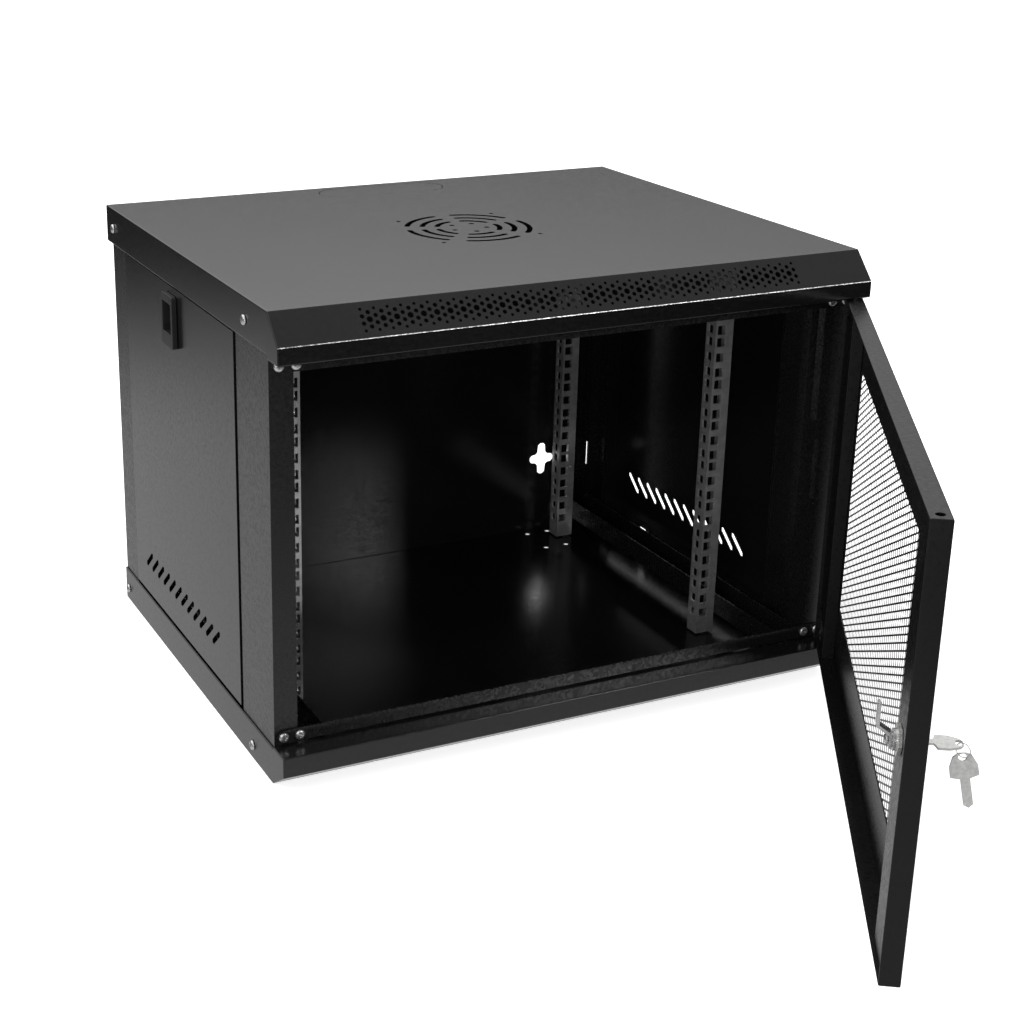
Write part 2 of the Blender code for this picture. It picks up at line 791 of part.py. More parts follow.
def make_bracket(side, side_name, bottom_z, place_name, paint):
    """A channel that carries the rails and runs from the front post to the rear post."""
    near = RAIL_OPENING / 2 + RAIL_FACE + GAP
    far = POST_X - POST_FACE_WIDTH - GAP
    front_y = FRONT_POST_Y + 0.004
    back_y = REAR_POST_BACK_Y - 0.003
    top_z = bottom_z + BRACKET_HEIGHT
    outline = [
        (near, top_z),
        (near, bottom_z),
        (far, bottom_z),
        (far, top_z),
        (far - BRACKET_SHEET, top_z),
        (far - BRACKET_SHEET, bottom_z + BRACKET_SHEET),
        (near + BRACKET_SHEET, bottom_z + BRACKET_SHEET),
        (near + BRACKET_SHEET, top_z),
    ]
    if bottom_z > HEIGHT / 2:
        outline = [(x, top_z + bottom_z - z) for x, z in outline]
    solid = prism(outline, front_y, back_y, "XZ")
    if side < 0:
        solid = mirrored_x(solid)
    show(f"{place_name}_{side_name}_bracket", solid, paint)


# ---------------------------------------------------------------- door

def make_door_shell(paint, parent):
    half, back_y = DOOR_HALF_WIDTH, FRONT_Y + DOOR_DEPTH
    shell = show(
        "door_shell", box((-half, FRONT_Y, DOOR_BOTTOM), (half, back_y, DOOR_TOP)), paint, parent
    )
    hollow = box(
        (SHEET - half, FRONT_Y + SHEET, DOOR_BOTTOM + SHEET),
        (half - SHEET, back_y + 0.01, DOOR_TOP - SHEET),
    )
    cut(shell, [hollow])
    side, end = WINDOW_SIDE_MARGIN, WINDOW_END_MARGIN
    window = box(
        (side - half, FRONT_Y - 0.01, DOOR_BOTTOM + end), (half - side, FRONT_Y + 0.01, DOOR_TOP - end)
    )
    holes = [window, lock_bore(FRONT_Y - 0.01, FRONT_Y + 0.01)]
    for x in (-HINGE_X, HINGE_X):
        holes.append(hinge_hole(DOOR_BOTTOM - 0.003, DOOR_BOTTOM + 0.004, x))
        holes.append(hinge_hole(DOOR_TOP - 0.004, DOOR_TOP + 0.003, x))
    cut(shell, holes)


def lock_bore(low, high):
    return prism(circle((LOCK_X, LOCK_Z), LOCK_BODY_RADIUS + GAP, 16), low, high, "XZ")


def make_door_mesh(paint, parent):
    """The vented sheet behind the door's window, as a coarse grid of openings."""
    half_x = DOOR_HALF_WIDTH - WINDOW_SIDE_MARGIN
    low_z = DOOR_BOTTOM + WINDOW_END_MARGIN
    high_z = DOOR_TOP - WINDOW_END_MARGIN
    near = FRONT_Y + SHEET + GAP
    sheet = box(
        (-half_x - MESH_OVERLAP, near, low_z - MESH_OVERLAP),
        (half_x + MESH_OVERLAP, near + SHEET, high_z + MESH_OVERLAP),
    )
    panel = show("door_mesh", sheet, paint, parent)
    step_x = (2 * half_x + MESH_WEB) / MESH_COLUMNS
    step_z = (high_z - low_z + MESH_WEB) / MESH_ROWS
    openings = []
    for column in range(MESH_COLUMNS):
        x = -half_x + column * step_x
        for row in range(MESH_ROWS):
            z = low_z + row * step_z
            hole = rectangle((x, z), (x + step_x - MESH_WEB, z + step_z - MESH_WEB))
            openings.append(prism(hole, near - 0.002, near + SHEET + 0.002, "XZ"))
    cut(panel, openings)


def stiffener(name, low_x, high_x, paint, parent):
    """A shallow channel inside the door, open towards the door's skin."""
    skin = FRONT_Y + SHEET + GAP
    low_z = DOOR_BOTTOM + SHEET + GAP
    high_z = DOOR_TOP - SHEET - GAP
    outer = box((low_x, skin, low_z), (high_x, skin + STIFFENER_DEPTH, high_z))
    hollow = box(
        (low_x + SHEET, skin - 0.01, low_z - 0.01),
        (high_x - SHEET, skin + STIFFENER_DEPTH - SHEET, high_z + 0.01),
    )
    made = show(name, outer, paint, parent)
    cut(made, [hollow])
    return made


def make_stiffeners(paint, parent):
    edge = DOOR_HALF_WIDTH - SHEET - GAP
    lock_side = stiffener("lock_stiffener", -edge, -edge + LOCK_STIFFENER_WIDTH, paint, parent)
    low, high = FRONT_Y + 0.005, FRONT_Y + 0.02
    pin_room = HINGE_PIN_RADIUS + 0.004
    spare_pin = box((-HINGE_X - pin_room, low - 0.01, 0.03), (-HINGE_X + pin_room, high, 0.05))
    cut(lock_side, [lock_bore(low, high), spare_pin])
    hinge_side = stiffener("hinge_stiffener", edge - HINGE_STIFFENER_WIDTH, edge, paint, parent)
    near_x, far_x = HINGE_X - 0.016, HINGE_X + 0.020
    lower_room = box((near_x, low - 0.01, DOOR_BOTTOM - 0.002), (far_x, high, DOOR_BOTTOM + 0.045))
    upper_room = box((near_x, low - 0.01, DOOR_TOP - 0.020), (far_x, high, DOOR_TOP + 0.002))
    cut(hinge_side, [lower_room, upper_room])


def make_hinge_pins(zinc, paint, parent, slide_parent):
    axis = (HINGE_X, HINGE_Y)
    under_flange = DOOR_TOP - SHEET - GAP
    upper = [
        (0, under_flange - 0.006),
        (0.005, under_flange - 0.006),
        (0.005, under_flange),
        (HINGE_PIN_RADIUS, under_flange),
        (HINGE_PIN_RADIUS, COVER_FASCIA_BOTTOM + 0.0055),
        (0.0020, COVER_FASCIA_BOTTOM + 0.0070),
        (0, COVER_FASCIA_BOTTOM + 0.0070),
    ]
    show("upper_hinge_pin", turned(upper, 12, axis, "XY"), zinc, parent, smooth=True)
    collar = DOOR_BOTTOM + 0.0085
    lower = [
        (0, BASE_FASCIA_TOP - 0.0045),
        (0.0020, BASE_FASCIA_TOP - 0.0045),
        (HINGE_PIN_RADIUS, BASE_FASCIA_TOP - 0.0030),
        (HINGE_PIN_RADIUS, collar),
        (0.0045, collar),
        (0.0045, collar + 0.0025),
        (0.0022, collar + 0.0025),
        (0.0022, DOOR_BOTTOM + 0.040),
        (0, DOOR_BOTTOM + 0.040),
    ]
    pin = show("lower_hinge_pin", turned(lower, 12, axis, "XY"), zinc, slide_parent, smooth=True)
    low, high = collar + 0.0001, collar + 0.0023
    lever = box((HINGE_X - 0.0150, HINGE_Y - 0.0012, low), (HINGE_X - 0.0020, HINGE_Y + 0.0012, high))
    finger = box((HINGE_X - 0.0150, HINGE_Y - 0.0012, low), (HINGE_X - 0.0128, HINGE_Y + 0.0050, high))
    weld(pin, [lever, finger])
    make_pin_spring(zinc, slide_parent, collar + 0.0031)
    make_pin_bracket(paint, parent)


def make_pin_spring(zinc, parent, bottom_z):
    """The pin's return spring, wound round its thin upper part."""
    turns, per_turn, radius, wire = 4, 10, 0.0036, 0.0005
    curve = bpy.data.curves.new("hinge_pin_spring", "CURVE")
    curve.dimensions = "3D"
    curve.bevel_depth = wire
    curve.bevel_resolution = 1
    curve.use_fill_caps = True
    spline = curve.splines.new("POLY")
    count = turns * per_turn
    spline.points.add(count)
    for i in range(count + 1):
        turn = 2 * math.pi * i / per_turn
        height = bottom_z + wire + i / count * 0.0105
        spline.points[i].co = (
            HINGE_X + radius * math.cos(turn),
            HINGE_Y + radius * math.sin(turn),
            height,
            1,
        )
    made = bpy.data.objects.new("hinge_pin_spring", curve)
    bpy.context.scene.collection.objects.link(made)
    curve.materials.append(zinc)
    made.parent = parent
    made.matrix_parent_inverse = Matrix.Translation(-Vector(parent.location))


def make_pin_bracket(paint, parent):
    """An angle on the door's hinge-side edge whose ear guides the top of the lower pin."""
    wall = DOOR_HALF_WIDTH - SHEET - GAP
    ear_z = DOOR_BOTTOM + 0.0330
    ear_top = ear_z + BRACKET_SHEET
    near_y, far_y = HINGE_Y - 0.005, HINGE_Y + 0.005
    web = box((wall - BRACKET_SHEET, near_y, DOOR_BOTTOM + 0.010), (wall, far_y, ear_top))
    bracket = show("hinge_pin_bracket", web, paint, parent)
    weld(bracket, [box((HINGE_X - 0.005, near_y, ear_z), (wall, far_y, ear_top))])
    guide = circle((HINGE_X, HINGE_Y), 0.0026, 12)
    cut(bracket, [prism(guide, ear_z - 0.002, ear_top + 0.002, "XY")])


# ---------------------------------------------------------------- lock and keys

def lock_y(distance):
    """A distance behind the door's outer face."""
    return FRONT_Y + distance


def make_lock(zinc, parent, turn_parent):
    axis = (LOCK_X, LOCK_Z)
    body = [
        (0, lock_y(-0.0033)),
        (0.0085, lock_y(-0.0033)),
        (0.0100, lock_y(-0.0020)),
        (0.0100, lock_y(-GAP)),
        (LOCK_BODY_RADIUS, lock_y(-GAP)),
        (LOCK_BODY_RADIUS, lock_y(LOCK_BODY_LENGTH)),
        (0, lock_y(LOCK_BODY_LENGTH)),
    ]
    barrel = show("lock_barrel", turned(body, 16, axis, "XZ"), zinc, parent, smooth=True)
    bore = circle(axis, LOCK_PLUG_RADIUS + GAP, 16)
    cut(barrel, [prism(bore, lock_y(-0.01), lock_y(LOCK_BODY_LENGTH + 0.01), "XZ")])

    nut_front = lock_y(SHEET + GAP + STIFFENER_DEPTH + GAP)
    hexagon = prism(circle(axis, 0.0120, 6), nut_front, nut_front + 0.0030, "XZ")
    nut = show("lock_nut", hexagon, zinc, parent)
    cut(nut, [lock_bore(nut_front - 0.01, nut_front + 0.01)])

    plug_end = lock_y(LOCK_BODY_LENGTH + GAP)
    plug = [
        (0, lock_y(-0.0036)),
        (LOCK_PLUG_RADIUS, lock_y(-0.0036)),
        (LOCK_PLUG_RADIUS, plug_end),
        (0, plug_end),
    ]
    core = show("lock_plug", turned(plug, 16, axis, "XZ"), zinc, turn_parent, smooth=True)
    keyway_low = (LOCK_X - 0.0038, lock_y(-0.01), LOCK_Z - 0.0013)
    keyway_high = (LOCK_X + 0.0038, lock_y(0.010), LOCK_Z + 0.0013)
    cut(core, [box(keyway_low, keyway_high)])


def make_cam(zinc, turn_parent):
    """A cranked strip that points up when the door is unlocked, and its fixing screw."""
    near = LOCK_BODY_LENGTH + 2 * GAP
    far = CAM_BACK_Y
    side_view = [
        (near, -0.0055),
        (near + CAM_SHEET, -0.0055),
        (near + CAM_SHEET, 0.0042),
        (far + CAM_SHEET, 0.0105),
        (far + CAM_SHEET, CAM_LENGTH),
        (far, CAM_LENGTH),
        (far, 0.0118),
        (near, 0.0055),
    ]
    outline = [(lock_y(depth), LOCK_Z + height) for depth, height in side_view]
    strip = prism(outline, LOCK_X - CAM_WIDTH / 2, LOCK_X + CAM_WIDTH / 2, "YZ")
    cam = show("lock_cam", strip, zinc, turn_parent)
    axis = (LOCK_X, LOCK_Z)
    cut(cam, [prism(circle(axis, 0.0024, 8), lock_y(near - 0.004), lock_y(near + 0.006), "XZ")])
    seat = near + CAM_SHEET + GAP
    head = [
        (0, lock_y(LOCK_BODY_LENGTH + 2 * GAP)),
        (0.0020, lock_y(LOCK_BODY_LENGTH + 2 * GAP)),
        (0.0020, lock_y(seat)),
        (0.0040, lock_y(seat)),
        (0.0040, lock_y(seat + 0.0015)),
        (0.0026, lock_y(seat + 0.0026)),
        (0, lock_y(seat + 0.0028)),
    ]
    show("cam_screw", turned(head, 12, axis, "XZ"), zinc, turn_parent, smooth=True)


def key_outline(length):
    """A plain flat key in its own plane: blade along -v, bow along +v, the hole at the origin."""
    bow = [(0.0100, -0.0150), (0.0098, -0.0070), (0.0066, 0.0008), (0.0026, 0.0033)]
    left = [(-u, v) for u, v in bow[::-1]]
    half = 0.0034
    shoulder, point = -0.0170, -length + 0.0025
    blade = [(-half, shoulder), (-half, point), (0, -length), (half, point), (half, shoulder)]
    return bow + left + blade


def make_key(nickel, turn_parent):
    """The key in the lock: its blade runs into the keyway and its bow stands outside the door."""
    half = KEY_SHEET / 2
    outline = [(LOCK_X + u, lock_y(KEY_HOLE_Y - v)) for u, v in key_outline(0.0350)]
    key = show("key", prism(outline, LOCK_Z - half, LOCK_Z + half, "XY"), nickel, turn_parent)
    ring_slot = stadium((LOCK_X, lock_y(KEY_HOLE_Y - 0.0003)), 0.0080, 0.0052)
    cut(key, [prism(ring_slot, LOCK_Z - 0.01, LOCK_Z + 0.01, "XY")])


def ring_centre():
    """The ring hangs from the key's slot, a little off its middle."""
    drop = math.sqrt(RING_RADIUS ** 2 - RING_CHORD ** 2)
    x = LOCK_X - RING_CHORD * math.sin(RING_TURN)
    y = lock_y(KEY_HOLE_Y) - RING_CHORD * math.cos(RING_TURN)
    return Vector((x, y, LOCK_Z - drop))


def make_key_ring(nickel, swing_parent):
    along = Vector((math.sin(RING_TURN), math.cos(RING_TURN), 0))
    across = Vector((math.cos(RING_TURN), -math.sin(RING_TURN), 0))
    ring = bmesh.new()
    loops = []
    for i in range(RING_STEPS):
        around = 2 * math.pi * i / RING_STEPS
        outwards = along * math.cos(around) + Vector((0, 0, math.sin(around)))
        middle = ring_centre() + outwards * RING_RADIUS
        section = circle((0, 0), RING_WIRE, RING_SIDES)
        loops.append([ring.verts.new(middle + outwards * u + across * v) for u, v in section])
    for i, loop in enumerate(loops):
        after = loops[(i + 1) % RING_STEPS]
        for j in range(RING_SIDES):
            k = (j + 1) % RING_SIDES
            ring.faces.new((loop[j], loop[k], after[k], after[j]))
    bmesh.ops.recalc_face_normals(ring, faces=ring.faces)
    show("key_ring", ring, nickel, swing_parent, smooth=True)


def make_spare_key(nickel, swing_parent):
    """The second key, which hangs from the ring."""
    hang = ring_centre() - Vector((0, 0, RING_RADIUS - 0.0002))
    half = KEY_SHEET / 2
    lean = Matrix.Translation(hang) @ Matrix.Rotation(math.radians(-12), 4, "X")
    blank = prism(key_outline(0.0400), -half, half, "YZ")
    bmesh.ops.transform(blank, matrix=lean, verts=blank.verts)
    spare = show("spare_key", blank, nickel, swing_parent)
    bore = prism(circle((0, 0), 0.0030, 12), -0.005, 0.005, "YZ")
    bmesh.ops.transform(bore, matrix=lean, verts=bore.verts)
    cut(spare, [bore])


# ---------------------------------------------------------------- assembly

def main():
    clear_scene()
    body_paint = material("body_paint", (0.028, 0.028, 0.030), 0.0, 0.50)
    frame_paint = material("frame_paint", (0.016, 0.016, 0.017), 0.0, 0.42)
    door_paint = material("door_paint", (0.020, 0.020, 0.021), 0.0, 0.48)
    latch_plastic = material("latch_plastic", (0.030, 0.030, 0.031), 0.0, 0.45)
    rail_zinc = material("rail_zinc", (0.62, 0.62, 0.60), 1.0, 0.38)
    bright_zinc = material("bright_zinc", (0.75, 0.75, 0.74), 1.0, 0.25)
    key_nickel = material("key_nickel", (0.66, 0.65, 0.62), 1.0, 0.30)

    make_top_cover(body_paint)
    make_top_knockout(body_paint)
    make_base_tray(body_paint)
    make_back_panel(body_paint)
    make_crossbar("front_bottom_bar", bar_middle(False), frame_paint)
    make_crossbar("front_top_bar", bar_middle(True), frame_paint)
    for side, side_name in ((-1, "left"), (1, "right")):
        make_front_post(side, side_name, frame_paint)
        make_rear_post(side, side_name, frame_paint)
        make_rail(side, side_name, FRONT_RAIL_Y, "front", rail_zinc)
        make_rail(side, side_name, REAR_RAIL_Y, "rear", rail_zinc)
        make_bracket(side, side_name, BRACKET_Z[0], "lower", frame_paint)
        make_bracket(side, side_name, BRACKET_Z[1] - BRACKET_HEIGHT / 2, "upper", frame_paint)
        tilt_axis = axis_empty(f"{side_name}_panel_axis", (side * PANEL_X, 0, PANEL_BOTTOM))
        slide_axis = axis_empty(f"{side_name}_latch_axis", (side * PANEL_X, latch_y(side), LATCH_Z))
        make_side_panel(side, side_name, body_paint, tilt_axis)
        make_panel_latch(side, side_name, latch_plastic, tilt_axis, slide_axis)
    make_screws(bright_zinc)

    door_axis = axis_empty("door_axis", (HINGE_X, HINGE_Y, 0), DOOR_OPEN_DEG)
    make_door_shell(door_paint, door_axis)
    make_door_mesh(door_paint, door_axis)
    make_stiffeners(door_paint, door_axis)
    make_hinge_pins(bright_zinc, door_paint, door_axis, door_axis)
    make_lock(bright_zinc, door_axis, door_axis)
    make_cam(bright_zinc, door_axis)
    make_key(key_nickel, door_axis)
    make_key_ring(key_nickel, door_axis)
    make_spare_key(key_nickel, door_axis)


main()
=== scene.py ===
"""The looks of a wall-mount network rack cabinet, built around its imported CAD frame.

Metres, +Z up, -Y out of the front. The door and what it carries are drawn shut and then turned open with
their body, so every piece of the door is made by the same functions as the cabinet's.
"""

import json
import math

import bmesh
import bpy
from mathutils import Matrix, Vector

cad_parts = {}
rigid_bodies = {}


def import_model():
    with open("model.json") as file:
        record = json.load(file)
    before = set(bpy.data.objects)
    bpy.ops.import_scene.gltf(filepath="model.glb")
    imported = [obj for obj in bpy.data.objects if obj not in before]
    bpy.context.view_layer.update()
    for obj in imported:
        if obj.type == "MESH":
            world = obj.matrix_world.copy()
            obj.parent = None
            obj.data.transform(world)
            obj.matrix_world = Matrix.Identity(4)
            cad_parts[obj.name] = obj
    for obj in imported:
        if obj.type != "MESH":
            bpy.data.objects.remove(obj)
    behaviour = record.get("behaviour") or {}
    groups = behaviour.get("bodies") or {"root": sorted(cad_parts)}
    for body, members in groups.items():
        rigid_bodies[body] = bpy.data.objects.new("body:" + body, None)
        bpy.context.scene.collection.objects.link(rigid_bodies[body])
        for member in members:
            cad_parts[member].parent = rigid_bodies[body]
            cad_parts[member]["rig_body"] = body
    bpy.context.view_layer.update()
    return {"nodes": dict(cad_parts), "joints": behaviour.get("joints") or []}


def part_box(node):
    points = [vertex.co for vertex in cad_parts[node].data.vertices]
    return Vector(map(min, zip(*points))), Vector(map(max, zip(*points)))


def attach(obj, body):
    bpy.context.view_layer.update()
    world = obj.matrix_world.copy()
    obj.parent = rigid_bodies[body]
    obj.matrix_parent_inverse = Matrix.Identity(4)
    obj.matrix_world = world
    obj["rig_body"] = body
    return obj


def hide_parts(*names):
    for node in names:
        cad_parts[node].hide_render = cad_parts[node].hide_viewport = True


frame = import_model()

# ---------------------------------------------------------------- sizes read from the frame

COVER_LOW, COVER_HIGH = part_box("top_cover")
BASE_LOW, BASE_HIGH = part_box("base_tray")
KNOCKOUT_LOW, KNOCKOUT_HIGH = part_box("top_knockout")
RAIL_LOW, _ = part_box("front_right_rail")
HALF_WIDTH = COVER_HIGH.x
FRONT = COVER_LOW.y
TOP = COVER_HIGH.z

# ---------------------------------------------------------------- sizes shared with the CAD model

SHEET = 0.0012
GAP = 0.0003
BEND = 0.0016
BASE_BEND = 0.0009
EDGE = 0.0003
SKIN_ROUNDING = 0.0012
WELD = 0.000002
FLAT_ANGLE = math.radians(1.0)
PUNCH = 0.004

COVER_FASCIA_BOTTOM = COVER_LOW.z
COVER_SKIRT_BOTTOM = COVER_LOW.z + 0.004
COVER_SLOPE_DEPTH = 0.024
COVER_SLOPE_DROP = 0.026
LEDGE_DEPTH = 0.026

BASE_SLOPE_DEPTH = 0.028
BASE_SLOPE_RISE = 0.019
RIM_HOLE_PLACE = (0.119, 0.0305)
RIM_HOLE_LENGTH = 0.014
RIM_HOLE_HEIGHT = 0.006
BASE_FASCIA_TOP = BASE_HIGH.z
BASE_RIM_TOP = BASE_HIGH.z - 0.002

DOOR_JOINT = next(j for j in frame["joints"] if j["name"] == "door_hinge")
LOCK_JOINT = next(j for j in frame["joints"] if j["name"] == "lock_turn")
HINGE_X, HINGE_Y = DOOR_JOINT["pos_m"][:2]
DOOR_OPEN = -math.radians(DOOR_JOINT["range_deg"][0])
DOOR_HALF_WIDTH = 0.297
DOOR_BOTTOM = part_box("door_shell")[0].z
DOOR_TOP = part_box("door_shell")[1].z
DOOR_DEPTH = 2 * (HINGE_Y - FRONT)
WINDOW_SIDE = 0.057
WINDOW_END = 0.057
LOCK_X = -DOOR_HALF_WIDTH + 0.035
LOCK_Z = LOCK_JOINT["pos_m"][2]


# ---------------------------------------------------------------- solids as bmesh

def place(plane, u, v, w):
    """A point from two in-plane coordinates and one along the extrusion."""
    return {"XY": (u, v, w), "XZ": (u, w, v), "YZ": (w, u, v)}[plane]


def prism(outline, low, high, plane):
    """A closed outline extruded from low to high, square to its plane."""
    solid = bmesh.new()
    bottom = [solid.verts.new(place(plane, u, v, low)) for u, v in outline]
    top = [solid.verts.new(place(plane, u, v, high)) for u, v in outline]
    solid.faces.new(bottom)
    solid.faces.new(top)
    count = len(outline)
    for i in range(count):
        j = (i + 1) % count
        solid.faces.new((bottom[i], bottom[j], top[j], top[i]))
    bmesh.ops.recalc_face_normals(solid, faces=solid.faces)
    return solid


def rectangle(low, high):
    return [(low[0], low[1]), (high[0], low[1]), (high[0], high[1]), (low[0], high[1])]


def box(low, high):
    return prism(rectangle(low, high), low[2], high[2], "XY")


def circle(centre, radius, sides, turn=0.0):
    steps = [turn + 2 * math.pi * i / sides for i in range(sides)]
    return [(centre[0] + radius * math.cos(t), centre[1] + radius * math.sin(t)) for t in steps]


def stadium(centre, length, width, angle=0.0, steps=6):
    """A slot with round ends, lying at an angle."""
    radius = width / 2
    reach = length / 2 - radius
    points = []
    for side in (1, -1):
        for i in range(steps + 1):
            turn = -math.pi / 2 + math.pi * i / steps + (0 if side == 1 else math.pi)
            points.append((side * reach + radius * math.cos(turn), radius * math.sin(turn)))
    c, s = math.cos(angle), math.sin(angle)
    return [(centre[0] + u * c - v * s, centre[1] + u * s + v * c) for u, v in points]


def arc_slot(centre, radius, width, middle_deg, half_deg, steps=10):
    """A curved slot with round ends."""
    points = []
    for end in (1, -1):
        tip = math.radians(middle_deg + end * half_deg)
        tip_centre = Vector((centre[0] + radius * math.cos(tip), centre[1] + radius * math.sin(tip)))
        for i in range(7):
            bend = tip + (0 if end == 1 else math.pi) + math.pi * i / 6
            points.append(tuple(tip_centre + Vector((math.cos(bend), math.sin(bend))) * width / 2))
        for i in range(1, steps):
            turn = math.radians(middle_deg + end * half_deg * (1 - 2 * i / steps))
            reach = radius - end * width / 2
            points.append((centre[0] + reach * math.cos(turn), centre[1] + reach * math.sin(turn)))
    return points


def rounded(outline, radius, steps=4):
    """The outline with each corner turned into an arc."""
    points = []
    count = len(outline)
    for i in range(count):
        here = Vector(outline[i])
        back = (Vector(outline[i - 1]) - here).normalized()
        ahead = (Vector(outline[(i + 1) % count]) - here).normalized()
        half = back.angle(ahead) / 2
        if half > math.radians(88):
            points.append(tuple(here))
            continue
        reach = radius / math.tan(half)
        start, end = here + back * reach, here + ahead * reach
        centre = here + (back + ahead).normalized() * radius / math.sin(half)
        for step in range(steps + 1):
            spoke = (start - centre).normalized().slerp((end - centre).normalized(), step / steps)
            points.append(tuple(centre + spoke * radius))
    return points


def offset(outline, distance):
    """The outline moved inwards; it runs anticlockwise in its plane."""
    count = len(outline)
    area = sum(
        outline[i][0] * outline[(i + 1) % count][1] - outline[(i + 1) % count][0] * outline[i][1]
        for i in range(count)
    )
    sign = 1 if area > 0 else -1
    moved = []
    for i in range(count):
        here = Vector(outline[i])
        before = (here - Vector(outline[i - 1])).normalized()
        after = (Vector(outline[(i + 1) % count]) - here).normalized()
        one, two = Vector((-before.y, before.x)), Vector((-after.y, after.x))
        moved.append(tuple(here + (one + two) / (1 + one.dot(two)) * distance * sign))
    return moved


def turned(profile, sides, axis_point, plane):
    """A solid of revolution from (radius, height) points; the first and last radius are zero."""
    solid = bmesh.new()
    rings = []
    for radius, height in profile:
        if radius == 0:
            rings.append([solid.verts.new(place(plane, *axis_point, height))])
            continue
        ring = circle(axis_point, radius, sides)
        rings.append([solid.verts.new(place(plane, u, v, height)) for u, v in ring])
    for lower, upper in zip(rings, rings[1:]):
        for i in range(sides):
            j = (i + 1) % sides
            if len(lower) == 1:
                solid.faces.new((lower[0], upper[i], upper[j]))
            elif len(upper) == 1:
                solid.faces.new((lower[i], lower[j], upper[0]))
            else:
                solid.faces.new((lower[i], lower[j], upper[j], upper[i]))
    bmesh.ops.recalc_face_normals(solid, faces=solid.faces)
    return solid


# ---------------------------------------------------------------- objects

def mesh_of(name, solids):
    mesh = bpy.data.meshes.new(name)
    whole = bmesh.new()
    for solid in solids:
        piece = bpy.data.meshes.new("piece")
        solid.to_mesh(piece)
        whole.from_mesh(piece)
        solid.free()
        bpy.data.meshes.remove(piece)
    whole.to_mesh(mesh)
    whole.free()
    return mesh


def add(name, mesh):
    made = bpy.data.objects.new(name, mesh)
    bpy.context.scene.collection.objects.link(made)
    return made


def bevel(target, width, segments=2, angle_deg=40):
    modifier = target.modifiers.new("Bevel", "BEVEL")
    modifier.width = width
    modifier.segments = segments
    modifier.limit_method = "ANGLE"
    modifier.angle_limit = math.radians(angle_deg)
    modifier.harden_normals = False


def cut(target, solids):
    """Cuts the solids away by a Boolean with a hidden helper; bake_shape removes the helper."""
    helper = add(f"{target.name}_helper", mesh_of("helper", solids))
    helper.hide_render = True
    modifier = target.modifiers.new("Boolean", "BOOLEAN")
    modifier.operation = "DIFFERENCE"
    modifier.solver = "EXACT"
    modifier.object = helper


def bake_shape(target, smooth_deg=35):
    """Applies the target's modifiers and removes their helpers."""
    bpy.context.view_layer.update()
    graph = bpy.context.evaluated_depsgraph_get()
    mesh = bpy.data.meshes.new_from_object(target.evaluated_get(graph))
    helpers = [m.object for m in target.modifiers if m.type == "BOOLEAN"]
    target.modifiers.clear()
    target.data = mesh
    for helper in helpers:
        bpy.data.objects.remove(helper)
    mesh.shade_smooth()
    mesh.set_sharp_from_angle(angle=math.radians(smooth_deg))
    normals = target.modifiers.new("Flat faces", "WEIGHTED_NORMAL")
    normals.mode = "FACE_AREA"
    normals.weight = 50
    normals.keep_sharp = True
    return target


def finish_piece(piece, look, body, nodes=()):
    """Gives a piece its material and the body it rides on, and hides the CAD nodes it stands for."""
    piece.data.materials.clear()
    piece.data.materials.append(look)
    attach(piece, body)
    if nodes:
        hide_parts(*nodes)
    return piece


def refined(node, look, width=EDGE, cuts=(), slim=0.0):
    """A copy of a CAD node with its coplanar faces merged and its edges rounded."""
    source = frame["nodes"][node]
    shape = bmesh.new()
    shape.from_mesh(source.data)
    bmesh.ops.remove_doubles(shape, verts=shape.verts, dist=WELD)
    bmesh.ops.dissolve_limit(shape, angle_limit=FLAT_ANGLE, verts=shape.verts, edges=shape.edges)
    piece = add(f"{node}_skin", mesh_of(node, [shape]))
    if slim:
        inwards = piece.modifiers.new("Slim", "DISPLACE")
        inwards.strength = -slim
        inwards.mid_level = 0.0
    if cuts:
        cut(piece, list(cuts))
    bevel(piece, width)
    bake_shape(piece)
    return finish_piece(piece, look, source["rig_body"], (node,))


# ---------------------------------------------------------------- materials

